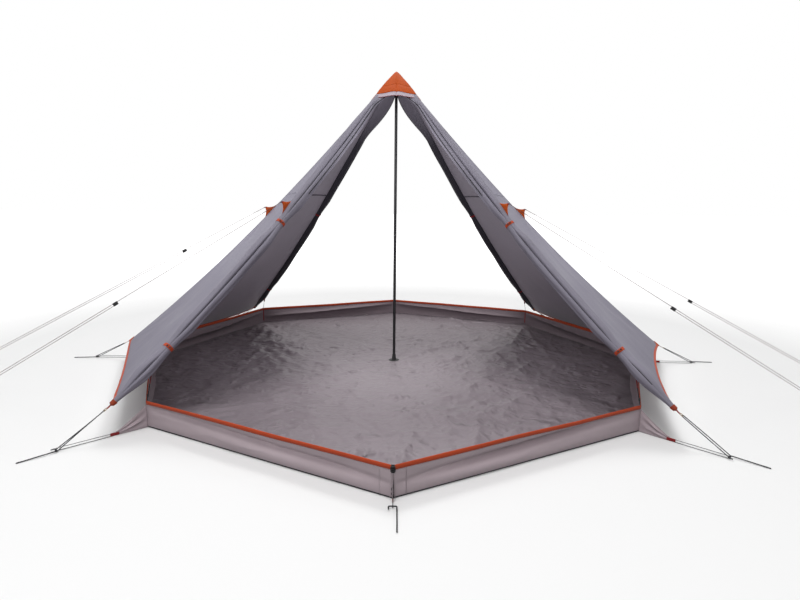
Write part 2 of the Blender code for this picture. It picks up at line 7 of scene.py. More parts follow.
import bmesh
import bpy
from mathutils import Matrix, Vector, noise
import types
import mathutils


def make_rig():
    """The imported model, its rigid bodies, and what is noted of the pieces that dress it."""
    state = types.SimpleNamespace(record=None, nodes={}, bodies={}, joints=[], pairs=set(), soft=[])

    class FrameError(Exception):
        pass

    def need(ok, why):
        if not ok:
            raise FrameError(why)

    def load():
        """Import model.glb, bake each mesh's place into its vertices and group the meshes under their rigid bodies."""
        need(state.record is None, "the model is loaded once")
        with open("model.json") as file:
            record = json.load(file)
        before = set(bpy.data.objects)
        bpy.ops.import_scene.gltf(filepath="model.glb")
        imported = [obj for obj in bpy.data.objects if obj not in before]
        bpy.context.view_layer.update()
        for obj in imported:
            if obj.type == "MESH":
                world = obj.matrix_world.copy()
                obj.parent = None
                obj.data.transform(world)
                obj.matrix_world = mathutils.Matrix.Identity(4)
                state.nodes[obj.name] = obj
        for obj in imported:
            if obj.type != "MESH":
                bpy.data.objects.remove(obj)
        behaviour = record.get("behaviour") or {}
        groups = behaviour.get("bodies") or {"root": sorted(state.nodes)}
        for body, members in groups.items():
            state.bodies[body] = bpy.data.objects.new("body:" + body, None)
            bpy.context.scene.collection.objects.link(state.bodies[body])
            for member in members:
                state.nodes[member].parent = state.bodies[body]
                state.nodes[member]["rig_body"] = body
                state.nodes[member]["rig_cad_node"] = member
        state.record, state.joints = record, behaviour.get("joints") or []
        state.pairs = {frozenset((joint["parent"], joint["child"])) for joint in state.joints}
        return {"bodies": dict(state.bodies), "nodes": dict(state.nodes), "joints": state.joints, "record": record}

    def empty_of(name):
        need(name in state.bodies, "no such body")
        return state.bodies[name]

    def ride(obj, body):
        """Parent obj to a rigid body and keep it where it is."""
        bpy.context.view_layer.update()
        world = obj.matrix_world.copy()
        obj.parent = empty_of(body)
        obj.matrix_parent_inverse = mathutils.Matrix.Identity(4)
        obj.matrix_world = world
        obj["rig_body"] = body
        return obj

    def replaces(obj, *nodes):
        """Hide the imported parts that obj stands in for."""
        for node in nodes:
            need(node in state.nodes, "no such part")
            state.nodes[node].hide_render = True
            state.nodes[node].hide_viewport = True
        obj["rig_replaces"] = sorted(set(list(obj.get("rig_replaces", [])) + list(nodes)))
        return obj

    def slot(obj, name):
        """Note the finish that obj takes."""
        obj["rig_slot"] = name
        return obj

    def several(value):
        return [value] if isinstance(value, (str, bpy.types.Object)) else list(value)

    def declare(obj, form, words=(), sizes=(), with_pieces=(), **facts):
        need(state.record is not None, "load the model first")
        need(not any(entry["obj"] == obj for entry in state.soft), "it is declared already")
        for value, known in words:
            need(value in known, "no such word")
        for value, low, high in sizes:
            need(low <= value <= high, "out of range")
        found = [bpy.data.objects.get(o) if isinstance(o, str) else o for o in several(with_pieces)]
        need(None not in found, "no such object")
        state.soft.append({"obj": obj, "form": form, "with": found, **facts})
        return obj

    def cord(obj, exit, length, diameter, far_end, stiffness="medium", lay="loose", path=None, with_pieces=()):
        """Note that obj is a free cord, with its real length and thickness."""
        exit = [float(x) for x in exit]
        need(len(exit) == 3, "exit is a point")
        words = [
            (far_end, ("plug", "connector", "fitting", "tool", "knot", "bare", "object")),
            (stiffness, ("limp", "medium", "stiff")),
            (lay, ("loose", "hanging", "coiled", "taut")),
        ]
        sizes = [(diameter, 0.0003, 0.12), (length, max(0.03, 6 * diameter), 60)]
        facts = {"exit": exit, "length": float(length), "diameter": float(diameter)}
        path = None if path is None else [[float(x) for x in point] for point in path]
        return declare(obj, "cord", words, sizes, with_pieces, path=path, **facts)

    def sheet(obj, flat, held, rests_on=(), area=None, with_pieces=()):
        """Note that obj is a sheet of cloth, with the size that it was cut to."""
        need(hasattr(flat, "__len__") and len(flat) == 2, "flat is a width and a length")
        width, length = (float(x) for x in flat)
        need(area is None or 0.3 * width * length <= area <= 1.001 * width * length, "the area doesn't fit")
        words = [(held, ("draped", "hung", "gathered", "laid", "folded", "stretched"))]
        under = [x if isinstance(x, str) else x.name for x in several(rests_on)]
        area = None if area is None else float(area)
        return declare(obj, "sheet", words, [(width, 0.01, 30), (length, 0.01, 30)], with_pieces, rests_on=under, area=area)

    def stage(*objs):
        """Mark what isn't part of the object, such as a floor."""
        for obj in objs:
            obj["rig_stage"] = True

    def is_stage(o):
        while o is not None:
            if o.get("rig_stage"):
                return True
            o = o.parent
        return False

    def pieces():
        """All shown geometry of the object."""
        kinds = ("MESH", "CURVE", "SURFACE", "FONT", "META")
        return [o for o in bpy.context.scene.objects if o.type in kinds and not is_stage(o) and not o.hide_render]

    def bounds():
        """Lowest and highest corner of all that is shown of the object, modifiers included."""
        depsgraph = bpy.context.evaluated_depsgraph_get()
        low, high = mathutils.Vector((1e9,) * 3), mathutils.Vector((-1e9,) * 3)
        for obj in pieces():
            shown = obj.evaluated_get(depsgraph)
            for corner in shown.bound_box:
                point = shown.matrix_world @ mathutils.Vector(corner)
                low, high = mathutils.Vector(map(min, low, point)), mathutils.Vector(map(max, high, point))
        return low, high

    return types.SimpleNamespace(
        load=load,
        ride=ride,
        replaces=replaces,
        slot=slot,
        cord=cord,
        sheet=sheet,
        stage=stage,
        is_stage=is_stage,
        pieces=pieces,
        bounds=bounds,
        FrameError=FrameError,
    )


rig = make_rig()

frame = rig.load()
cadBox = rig.bounds()

# The CAD model's driving sizes, which the cloth follows
tub = {"radius": 1.98, "frontReach": 0.17, "height": 0.157, "binding": 0.020, "cloth": 0.0008}
fly = {
    "apex": 2.25, "radius": 2.16, "hems": {"front": 0.185, "back": 0.138}, "sideHem": 0.146,
    "ridgeSag": 0.10, "faceSag": 0.035, "capRadius": 0.113, "topRadius": 0.091, "cloth": 0.0008,
}
roll = {"tied": 0.030, "tip": 0.013, "top": 0.020, "tieWidth": 0.020, "tieRamp": 0.16, "gap": 0.0003}
# Each doorway's rolls: their thickness, where they are tied and how far down their cloth fans out
rolls = {
    "front": {"size": 0.042, "ties": (0.49, 0.85), "fan": 0.15},
    "back": {"size": 0.036, "ties": (0.462, 0.858), "fan": 0.26},
}
peg = {"wire": 0.003, "hookHeight": 0.0092, "span": 0.036, "reach": 0.022, "length": 0.180,
       "cornerGap": 0.46, "doorGap": 0.075}

cornerNames = ("front", "front_right", "right", "back_right", "back", "back_left", "left", "front_left")
doorCorners = ("front_left", "front_right", "back_left", "back_right")
cornerTurn = math.tau / 8
halfTurn = cornerTurn / 2
tiny = 1e-6


# Small measures


def upBy(height):
    return Vector((0, 0, height))


def heading(angle):
    return Vector((math.sin(angle), -math.cos(angle), 0))


def levelSide(angle):
    return upBy(1).cross(heading(angle))


def levelOf(point):
    return Vector((point.x, point.y, 0))


def cornerAngle(name):
    return cornerNames.index(name) * cornerTurn


def doorOf(corner):
    return corner.split("_")[0]


def smooth(value):
    value = min(max(value, 0.0), 1.0)
    return value * value * (3 - 2 * value)


def arch(share):
    return math.sin(math.pi * share)


def bell(offset, width, power=2):
    return math.exp(-abs(offset / width) ** power)


def wrapped(turn):
    return (turn + math.pi) % math.tau - math.pi


def evenSteps(count):
    return [step / count for step in range(count + 1)]


def ripple(x, y, z=0.0):
    return noise.noise(Vector((x, y, z)))


def roundRipple(turn, scale, z):
    return ripple(math.cos(turn) * scale, math.sin(turn) * scale, z)


def crease(x, y, z=0.0):
    # Sharp-edged folds: 0 on flat cloth, 1 on a crease
    return (1 - min(abs(ripple(x, y, z)) * 3.2, 1.0)) ** 2


def axes(x, y, z, origin):
    made = Matrix((x, y, z)).transposed().to_4x4()
    made.translation = origin
    return made


def uprightFrame(origin, out, up=Vector((0, 0, 1))):
    return axes(out, up, out.cross(up), origin)


# Geometry that follows the CAD model


def tubCorner(index):
    index %= 8
    return heading(index * cornerTurn) * (tub["radius"] + (0 if index else tub["frontReach"]))


def tubMitre(index, offset):
    here = tubCorner(index)
    before = (here - tubCorner(index - 1)).normalized()
    after = (tubCorner(index + 1) - here).normalized()
    out = (Vector((before.y, -before.x, 0)) + Vector((after.y, -after.x, 0))).normalized()
    return here + out * offset / math.sqrt((1 + before.dot(after)) / 2)


def tubPoint(share, offset):
    place = share * 8
    index = min(int(place + tiny), 7)
    return tubMitre(index, offset).lerp(tubMitre(index + 1, offset), place - index)


def tubNormal(share):
    return (tubPoint(share, 1) - tubPoint(share, 0)).normalized()


def hemHeight(angle):
    return fly["hems"].get(doorOf(cornerNames[round(angle / cornerTurn) % 8]), fly["sideHem"])


def ridgeHeight(angle, share):
    chord = fly["apex"] + (hemHeight(angle) - fly["apex"]) * share
    return chord - 4 * fly["ridgeSag"] * share * (1 - share)


def ridgeSlope(angle, share):
    return (hemHeight(angle) - fly["apex"] - 4 * fly["ridgeSag"] * (1 - 2 * share)) / fly["radius"]


def ridgePoint(angle, share, lift=0.0):
    tilt = math.atan(ridgeSlope(angle, share))
    level = fly["radius"] * share - lift * math.sin(tilt)
    return heading(angle) * level + upBy(ridgeHeight(angle, share) + lift * math.cos(tilt))


def ridgeDirections(angle, share):
    # Down along the ridge, and square to it
    tilt = math.atan(ridgeSlope(angle, share))
    out = heading(angle)
    return (out * math.cos(tilt) + upBy(math.sin(tilt)), out * -math.sin(tilt) + upBy(math.cos(tilt)))


def ridgeFrame(angle, share):
    # x stands square to the ridge, z runs up along it
    centre = ridgePoint(angle, share)
    raised = (ridgePoint(angle, share, 1.0) - centre).normalized()
    along = (ridgePoint(angle, share - 0.001) - centre).normalized()
    return axes(raised, along.cross(raised), along, centre)


def panelWidth(share):
    return 2 * fly["radius"] * share * math.sin(halfTurn)


def panelPoint(angle, share, across, lift=0.0, sag=fly["faceSag"]):
    first = ridgePoint(angle, share, lift)
    second = ridgePoint(angle + cornerTurn, share, lift)
    drawnIn = 4 * sag * across * (1 - across) * share
    return first.lerp(second, across) - heading(angle + halfTurn) * drawnIn


ridgeRun = sum((ridgePoint(0, (step + 1) / 40) - ridgePoint(0, step / 40)).length for step in range(40))
rollStart = fly["capRadius"] / fly["radius"] + (roll["top"] + roll["gap"]) / ridgeRun
flyTop = fly["topRadius"] / fly["radius"]


def tieDistance(share, door):
    return min(abs(share - tie) for tie in rolls[door]["ties"]) * ridgeRun


def rollSize(share, door):
    # The roll's radius, and how loose it is between its ties
    swell = smooth((share - rollStart) / 0.16)
    narrow = smooth((1 - share) / 0.09)
    ease = smooth((tieDistance(share, door) - roll["tieWidth"]) / roll["tieRamp"])
    size = roll["tied"] + (rolls[door]["size"] - roll["tied"]) * ease
    size = roll["top"] + (size - roll["top"]) * swell
    return roll["tip"] + (size - roll["tip"]) * narrow, ease * swell * narrow


def fanWidth(share, door):
    fade = min(max(share - rollStart, 0) / (rolls[door]["fan"] - rollStart), 1)
    return panelWidth(share) * (1 - fade) ** 2 - 0.0032


# Materials

slots = {}


def toLinear(hexColour):
    channels = [int(hexColour[place:place + 2], 16) / 255 for place in (1, 3, 5)]
    return (*(c / 12.92 if c <= 0.04045 else ((c + 0.055) / 1.055) ** 2.4 for c in channels), 1.0)


def fill(node, given):
    # Names of attributes or inputs to values; nodes and outputs are linked, a node by its Fac or first output
    for key, value in given.items():
        if isinstance(value, bpy.types.Node):
            value = value.outputs.get("Fac") or value.outputs[0]
        if isinstance(value, bpy.types.NodeSocket):
            node.id_data.links.new(value, node.inputs[key])
        elif isinstance(key, str) and hasattr(node, key):
            setattr(node, key, value)
        else:
            node.inputs[key].default_value = value
    return node


def addNode(tree, kind, given=()):
    return fill(tree.nodes.new("ShaderNode" + kind), dict(given))


def mathNode(tree, operation, first, second):
    return addNode(tree, "Math", {"operation": operation, 0: first, 1: second})


def mapRange(tree, source, fromRange, toRange):
    (start, end), (low, high) = fromRange, toRange
    return addNode(tree, "MapRange", {"Value": source, "From Min": start, "From Max": end,
                                      "To Min": low, "To Max": high})


def newMaterial(name, slot=None):
    made = bpy.data.materials.new(name)
    made.use_nodes = True
    slots[name] = slot
    tree = made.node_tree
    return made, tree, tree.nodes["Principled BSDF"]


def waveScale(millimetres):
    # a band texture repeats every 0.314 units at scale 1
    return 0.31416 / (millimetres / 1000)


def wovenCloth(name, colour, slot, thread=3.0, weave=0.12, roughness=0.55, sheen=0.05, mottle=0.05,
               crinkles=(), fade=None, shine=0.35, patchy=0.0, relief=0.10):
    # Warp and weft bands along the piece's own UV map, which is in metres
    made, tree, shader = newMaterial(name, slot)
    uv = addNode(tree, "UVMap", {"uv_map": "cloth"})
    place = addNode(tree, "TexCoord").outputs["Object"]
    bands = [addNode(tree, "TexWave", {"bands_direction": way, "Scale": waveScale(thread), "Distortion": 0.6,
                                       "Detail": 0.0, "Vector": uv}) for way in ("X", "Y")]
    weft = mathNode(tree, "MULTIPLY", *bands)
    blotch = addNode(tree, "TexNoise", {"Scale": 3.5, "Detail": 5.0, "Roughness": 0.55, "Vector": place})
    shade = mapRange(tree, blotch, (0.3, 0.7), (1 - mottle, 1 + mottle))
    threadShade = mapRange(tree, weft, (0, 1), (0.93, 1.03))
    both = mathNode(tree, "MULTIPLY", shade, threadShade)
    base = addNode(tree, "VectorMath", {"operation": "SCALE", 0: toLinear(colour)[:3], "Scale": both})
    if fade:
        # painted shade: a darker colour towards one end of the cloth, between two places along it
        other, start, end = fade
        along = addNode(tree, "SeparateXYZ", {0: uv})
        share = mapRange(tree, along.outputs["Y"], (start, end), (0, 1))
        mixed = addNode(tree, "Mix", {"data_type": "RGBA", 0: share, 6: base, 7: toLinear(other)})
        base = mixed.outputs[2]
    height = addNode(tree, "Bump", {"Strength": weave, "Distance": 0.0006, "Height": weft})
    for size, strength in crinkles:
        warp = addNode(tree, "TexNoise", {"Scale": 600 / size, "Detail": 2.0, "Vector": place})
        bent = addNode(tree, "VectorMath", {"operation": "MULTIPLY_ADD", 0: warp.outputs["Color"],
                                            1: (size / 2500,) * 3, 2: place})
        folds = addNode(tree, "TexNoise", {"noise_type": "RIDGED_MULTIFRACTAL", "Scale": 1000 / size,
                                           "Detail": 2.0, "Roughness": 0.5, "Lacunarity": 2.3,
                                           "Vector": bent})
        # patchy cloth is crumpled in some places and pulled smooth in others
        spread = addNode(tree, "TexNoise", {"Scale": 1.9, "Detail": 2.0, "Vector": place})
        held = mapRange(tree, spread, (0.42, 0.60), (strength * (1 - patchy), strength))
        height = addNode(tree, "Bump", {"Distance": size / 1000 * relief, "Strength": held, "Height": folds,
                                        "Normal": height})
    gloss = mapRange(tree, blotch, (0.3, 0.7), (roughness - 0.06, roughness + 0.06))
    fill(shader, {"Base Color": base, "Normal": height, "Roughness": gloss, "Sheen Weight": sheen,
                  "Sheen Roughness": 0.4, "Specular IOR Level": shine})
    return made


def hardFinish(name, colour, slot, metallic=0.0, roughness=0.4, grain=1.0, bump=0.08, ior=1.46):
    # Fine moulding or drawing marks, in Object coordinates
    made, tree, shader = newMaterial(name, slot)
    place = addNode(tree, "TexCoord").outputs["Object"]
    marks = addNode(tree, "TexNoise", {"Scale": 1000 / grain, "Detail": 4.0, "Vector": place})
    worn = addNode(tree, "TexNoise", {"Scale": 18.0, "Detail": 5.0, "Vector": place})
    gloss = mapRange(tree, worn, (0.3, 0.7), (roughness - 0.05, roughness + 0.08))
    shade = mapRange(tree, worn, (0.3, 0.7), (0.9, 1.1))
    tint = addNode(tree, "VectorMath", {"operation": "SCALE", 0: toLinear(colour)[:3], "Scale": shade})
    relief = addNode(tree, "Bump", {"Strength": bump, "Distance": 0.0004, "Height": marks})
    fill(shader, {"Base Color": tint, "Roughness": gloss, "Normal": relief, "Metallic": metallic})
    if not metallic:
        fill(shader, {"IOR": ior})
    return made


def braidedCord(name, colour, fleck, slot, pitch=2.2):
    # Two crossing diagonals along the cord's own UV map give the braid its plaited look
    made, tree, shader = newMaterial(name, slot)
    uv = addNode(tree, "UVMap", {"uv_map": "cloth"})
    diagonals = []
    for turn in (0.8, -0.8):
        laid = addNode(tree, "Mapping", {"Rotation": (0, 0, turn), "Vector": uv})
        diagonals.append(addNode(tree, "TexWave", {"Scale": waveScale(pitch), "Vector": laid}))
    plait = mathNode(tree, "MULTIPLY", *diagonals)
    tint = addNode(tree, "Mix", {"data_type": "RGBA", 0: plait, 6: toLinear(fleck), 7: toLinear(colour)})
    relief = addNode(tree, "Bump", {"Strength": 0.5, "Distance": 0.0004, "Height": plait})
    fill(shader, {"Base Color": tint.outputs[2], "Normal": relief, "Roughness": 0.75, "Sheen Weight": 0.2})
    return made


# Polyurethane-coated polyester: a fine even weave with a soft, slightly satin face; painted shade darkens it towards
# the hem
flyCloth = wovenCloth("coated polyester fly", "#878393", "fly_cloth", mottle=0.03, crinkles=[(140, 0.07)],
                      shine=0.2, fade=("#736f7e", 1.5, 3.0))
# The fly's inner face: painted lighter than the outer face as painted light, with painted shade darkening it towards
# the apex
flyInside = wovenCloth("uncoated fly lining", "#aea8b4", "fly_cloth", roughness=0.6, sheen=0.1,
                       crinkles=[(90, 0.10)], fade=("#88828d", 1.3, 0.5))
doorCloth = wovenCloth("coated polyester door", "#85818e", "door_cloth", crinkles=[(60, 0.12)], shine=0.2)
# The rear rolls' door cloth, painted near-black from half a metre below its top: painted shade of rolls seen against
# the light
paintedShadeDoorCloth = wovenCloth("door cloth with painted shade", "#7f7a86", "door_cloth", roughness=0.62, sheen=0.1,
                           mottle=0.08, crinkles=[(45, 0.16)], fade=("#34323a", 0.05, 0.50))
# Laminated polyethylene groundsheet: a waxy sheen broken by packing creases; painted shade darkens it towards the back
floorCloth = wovenCloth("laminated groundsheet", "#8d8389", "groundsheet", thread=4.0, weave=0.08,
                        roughness=0.48, sheen=0.0, crinkles=[(300, 0.5), (120, 1.0), (45, 1.0)], shine=0.3,
                        patchy=0.5, relief=0.34, fade=("#6f666b", 1.5, 3.8))
# The tub's wall is a lighter coated oxford weave
wallCloth = wovenCloth("coated oxford wall", "#b3a4aa", "wall_cloth", weave=0.15,
                       crinkles=[(160, 0.4), (50, 0.35)], patchy=0.5)
# Its inner face is duller, and painted darker as shade
wallInside = wovenCloth("wall inner face with painted shade", "#7f7278", "wall_cloth", weave=0.15, roughness=0.65,
                        crinkles=[(160, 0.4), (50, 0.35)], patchy=0.5)
# Collar and cap are the fly's cloth in other colours
collarCloth = wovenCloth("pale coated collar", "#b3a5b0", "fly_cloth", roughness=0.5, sheen=0.2,
                         crinkles=[(45, 0.12)])
capCloth = wovenCloth("orange coated polyester", "#bd5426", "orange_cloth", roughness=0.6, sheen=0.0,
                      mottle=0.04, crinkles=[(60, 0.03)], shine=0.05)
# Woven polyester tapes and webbing have a coarse rib that takes light in short strokes
ribbed = {"thread": 2.5, "weave": 0.6, "roughness": 0.7, "sheen": 0.1, "mottle": 0.08}
bindingTape = wovenCloth("orange binding tape", "#b7431d", "orange_binding",
                         **{**ribbed, "weave": 0.5, "mottle": 0.06})
sleeveTape = wovenCloth("rust red polyester", "#92361c", "orange_cloth",
                        **{**ribbed, "weave": 0.4, "sheen": 0.05})
redWebbing = wovenCloth("dark red webbing", "#8c2325", "orange_binding", **{**ribbed, "roughness": 0.75})
blackWebbing = wovenCloth("black nylon webbing", "#17171a", "black_webbing", **ribbed)
seamTape = wovenCloth("grey seam thread", "#57535f", "wall_cloth", **{**ribbed, "thread": 2.0, "weave": 0.5})
blackSeam = wovenCloth("black seam tape", "#26252a", "black_webbing",
                       **{**ribbed, "thread": 2.0, "weave": 0.5})
# Polyester braid round a core for the lines, round rubber for the loops
guyBraid = braidedCord("braided guy cord", "#3a282b", "#5c2226", "guy_cord")
blackBraid = braidedCord("black elastic cord", "#1b1b1e", "#3a3a40", "black_webbing")
# Acetal toggles and runners: moulded, slightly waxy
blackAcetal = hardFinish("black acetal", "#18181a", "black_plastic", roughness=0.38, grain=0.8, ior=1.48)
tanAcetal = hardFinish("tan acetal", "#a08a6c", "black_plastic", roughness=0.42, grain=0.8, ior=1.48)
# Powder-coated steel tube: satin black with a faint orange peel
poleEnamel = hardFinish("black powder-coated tube", "#1a1a1d", "pole_enamel", roughness=0.34, grain=2.5,
                        bump=0.06, ior=1.5)
footRubber = hardFinish("moulded black rubber", "#1c1c1d", "foot_rubber", roughness=0.7, grain=1.2, bump=0.2,
                        ior=1.52)
# Drawn wire, blackened for the pegs and bright for button and rivet
pegSteel = hardFinish("blackened steel wire", "#3a3a3d", "peg_steel", metallic=1.0, roughness=0.38)
zincSteel = hardFinish("bright zinc plate", "#c9ccd0", "peg_steel", metallic=1.0, roughness=0.28)
print("materials done")


# Making pieces


def finishPiece(piece, replaces=(), body="tent", slot=None):
    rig.ride(piece, body)
    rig.slot(piece, slot or slots[piece.data.materials[0].name])
    if replaces:
        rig.replaces(piece, *replaces)
    return piece


def meshPiece(name, bm, finishes, smoothAngle):
    mesh = bpy.data.meshes.new(name)
    bm.to_mesh(mesh)
    bm.free()
    mesh.shade_smooth()
    mesh.set_sharp_from_angle(angle=math.radians(smoothAngle))
    for finish in finishes if isinstance(finishes, (list, tuple)) else [finishes]:
        mesh.materials.append(finish)
    piece = bpy.data.objects.new(name, mesh)
    bpy.context.scene.collection.objects.link(piece)
    return piece


def clothGrid(grid, place, flat, ring=False):
    # A grid whose points are put by place(across, up), with its UV map in metres
    bm = bmesh.new()
    uv = bm.loops.layers.uv.new("cloth")
    bmesh.ops.create_grid(bm, x_segments=grid[0], y_segments=grid[1], size=0.5, calc_uvs=True)
    for face in bm.faces:
        for loop in face.loops:
            loop[uv].uv = ((loop.vert.co.x + 0.5) * flat[0], (loop.vert.co.y + 0.5) * flat[1])
    for vert in bm.verts:
        vert.co = place(vert.co.x + 0.5, vert.co.y + 0.5)
    if ring:
        bmesh.ops.remove_doubles(bm, verts=bm.verts, dist=1e-5)
    return bm


def thicken(piece, thickness, offset=0.0):
    solid = piece.modifiers.new("thickness", "SOLIDIFY")
    solid.thickness = thickness
    solid.offset = offset
    # where a piece has a second finish, it covers the inner face
    solid.material_offset = len(piece.data.materials) - 1
    return piece


def clothPiece(name, grid, place, flat, finish, thickness=0.0008, offset=0.0, ring=False, **finishing):
    piece = meshPiece(name, clothGrid(grid, place, flat, ring), finish, 50)
    return finishPiece(thicken(piece, thickness, offset), **finishing)


def pathLengths(points):
    run = [0.0]
    for before, after in zip(points, points[1:]):
        run.append(run[-1] + (after - before).length)
    return run


def tapePiece(name, points, side, width, finish, thickness, **finishing):
    # A flat tape along points; side is the direction of its width
    columns = len(points) - 1

    def place(across, up):
        return points[round(across * columns)] + side * width * (up - 0.5)

    flat = (pathLengths(points)[-1], width)
    return clothPiece(name, (columns, 4), place, flat, finish, thickness, **finishing)


def tube(bm, points, radius, sides, ring, taper):
    # A round rod swept along points with bmesh: one circle is extruded from point to point
    uv = bm.loops.layers.uv.new("cloth")
    count = len(points)
    run = pathLengths(points)
    run.append(run[-1] + (points[0] - points[-1]).length)
    rings = []
    side = None
    for index, point in enumerate(points):
        before = points[index - 1] if index or ring else point
        after = points[(index + 1) % count] if index < count - 1 or ring else point
        along = (after - before).normalized()
        side = side or along.orthogonal()
        side = (side - along * side.dot(along)).normalized()
        size = radius * (taper[index] if taper else 1)
        turned = axes(side, along.cross(side), along, point)
        rings.append(bmesh.ops.create_circle(bm, segments=sides, radius=size, matrix=turned)["verts"])
    for index in range(count if ring else count - 1):
        first, second = rings[index], rings[(index + 1) % count]
        shift = 0
        if ring and index == count - 1:
            shift = min(range(sides), key=lambda s: (first[0].co - second[s].co).length)
        for place in range(sides):
            following = (place + 1) % sides
            face = bm.faces.new((first[place], first[following], second[(following + shift) % sides],
                                 second[(place + shift) % sides]))
            low, high = run[index], run[index + 1]
            corners = ((low, place), (low, place + 1), (high, place + 1), (high, place))
            for loop, (u, v) in zip(face.loops, corners):
                loop[uv].uv = (u, v / sides * math.tau * radius)
    if not ring:
        bm.faces.new(list(reversed(rings[0])))
        bm.faces.new(rings[-1])


def tubePiece(name, points, radius, finish, sides=8, ring=False, taper=None, **finishing):
    bm = bmesh.new()
    tube(bm, points, radius, sides, ring, taper)
    bmesh.ops.recalc_face_normals(bm, faces=bm.faces)
    return finishPiece(meshPiece(name, bm, finish, 60), **finishing)


def smoothPath(points, steps):
    # A Catmull-Rom curve through the points
    made = []
    ends = [points[0] * 2 - points[1], *points, points[-1] * 2 - points[-2]]
    for index in range(1, len(ends) - 2):
        a, b, c, d = ends[index - 1:index + 3]
        for step in range(steps):
            t = step / steps
            made.append(0.5 * ((2 * b) + (c - a) * t + (2 * a - 5 * b + 4 * c - d) * t * t
                               + (3 * b - a - 3 * c + d) * t ** 3))
    return made + [points[-1]]


def turnedPiece(name, profile, place, finish, steps, **finishing):
    # A profile of (radius, height) points spun round z, then put in place
    bm = bmesh.new()
    verts = [bm.verts.new((radius, 0, height)) for radius, height in profile]
    edges = [bm.edges.new(pair) for pair in zip(verts, verts[1:])]
    bmesh.ops.spin(bm, geom=verts + edges, cent=(0, 0, 0), axis=(0, 0, 1), angle=math.tau, steps=steps,
                   use_merge=True, use_duplicate=False)
    bmesh.ops.remove_doubles(bm, verts=bm.verts, dist=1e-6)
    bmesh.ops.transform(bm, matrix=place, verts=bm.verts)
    bmesh.ops.recalc_face_normals(bm, faces=bm.faces)
    return finishPiece(meshPiece(name, bm, finish, 40), **finishing)


def boxInto(bm, size, place, bevel):
    made = bmesh.ops.create_cube(bm, size=1, matrix=place @ Matrix.Diagonal((*size, 1)))
    edges = list({edge for vert in made["verts"] for edge in vert.link_edges})
    bmesh.ops.bevel(bm, geom=edges, offset=bevel, offset_type="OFFSET", segments=2, profile=0.5,
                    affect="EDGES", material=-1, clamp_overlap=True)


def buckle(name, place, width, length, finish=None):
    # A ladder-lock: a frame with three cross bars; x along the strap, y square to it, z its width
    bm = bmesh.new()
    rail, thick, bar = 0.0028, 0.0036, 0.003
    for way in (-1, 1):
        rise = way * (width + rail) / 2
        boxInto(bm, (length, thick, rail), place @ Matrix.Translation((0, 0, rise)), 0.0008)
    for x, y in ((-length / 2 + bar / 2, 0), (0.001, 0.0006), (length / 2 - bar / 2, 0)):
        boxInto(bm, (bar, thick * 0.8, width + rail), place @ Matrix.Translation((x, y, 0)), 0.0007)
    bmesh.ops.recalc_face_normals(bm, faces=bm.faces)
    return finishPiece(meshPiece(name, bm, finish or blackAcetal, 35))


def stitchRow(bm, points, face, pitch=0.0042, length=0.0028, width=0.0007, proud=0.0004):
    # Short raised lozenges along a line: one thread each
    run = pathLengths(points)
    at, index = pitch / 2, 0
    while at < run[-1] - length:
        while run[index + 1] < at:
            index += 1
        start, end = points[index], points[index + 1]
        along = (end - start).normalized()
        centre = start + along * (at - run[index])
        side = along.cross(face).normalized() * width / 2
        back, ahead = centre - along * length / 2, centre + along * length / 2
        rim = [bm.verts.new(place) for place in (back, centre - side, ahead, centre + side)]
        top = bm.verts.new(centre + face * proud)
        for first in range(4):
            bm.faces.new((rim[first], rim[(first + 1) % 4], top))
        at += pitch


def stitchPiece(name, rows, slot, **sizes):
    bm = bmesh.new()
    bm.loops.layers.uv.new("cloth")
    for points, normal in rows:
        stitchRow(bm, points, normal, **sizes)
    return finishPiece(meshPiece(name, bm, seamTape, 10), slot=slot)


# Camera, light and ground

view = {"back": 4.366, "height": 1.274, "pitch": 0.1749, "roll": 0.009, "lens": 24.75, "shift": 0.0069}
camera = bpy.data.objects.new("camera", bpy.data.cameras.new("camera"))
bpy.context.scene.collection.objects.link(camera)
camera.data.sensor_width = 36
camera.data.lens = view["lens"]
camera.data.shift_x = view["shift"]
camera.data.clip_end = 200
camera.matrix_world = (Matrix.Translation((0, -view["back"], view["height"]))
                       @ Matrix.Rotation(math.pi / 2 - view["pitch"], 4, "X")
                       @ Matrix.Rotation(view["roll"], 4, "Z"))
bpy.context.scene.camera = camera
bpy.context.scene.view_settings.view_transform = "Standard"

light = {
    "world": 0.38, "floorGlow": 0.04, "bounce": 0.35, "floor": 0.80,
    # name, place, target, size and power
    "softboxes": [("overhead softbox", (-0.8, -3.0, 11.0), (0, 0, 0), 5.0, 500),
                  ("rear softbox", (0.5, 6.5, 11.0), (0, 0, 0), 4.0, 560),
                  ("front softbox", (-2.0, -9.0, 5.0), (0, 0, 0.8), 5.0, 240)],
    # soft lamps inside, as the cloth of a real fly glows and brightens the shade under it
    "inside": [((0.0, -0.40, 1.50), 9), ((-1.25, -0.05, 0.85), 4.0), ((1.25, -0.05, 0.85), 4.0)],
}


def addLamp(name, kind, place, power):
    lamp = bpy.data.objects.new(name, bpy.data.lights.new(name, kind))
    lamp.data.energy = power
    lamp.location = place
    bpy.context.scene.collection.objects.link(lamp)
    return lamp


for name, place, target, size, power in light["softboxes"]:
    softbox = addLamp(name, "AREA", place, power)
    softbox.data.shape = "DISK"
    softbox.data.size = size
    softbox.rotation_euler = (Vector(target) - Vector(place)).to_track_quat("-Z", "Y").to_euler()
for place, power in light["inside"]:
    glowLamp = addLamp("inside lamp", "POINT", place, power)
    glowLamp.data.shadow_soft_size = 0.30
    glowLamp.visible_camera = glowLamp.visible_glossy = False


def seenDirectly(tree, rays):
    return mathNode(tree, "MAXIMUM", rays.outputs["Is Camera Ray"], rays.outputs["Is Glossy Ray"])


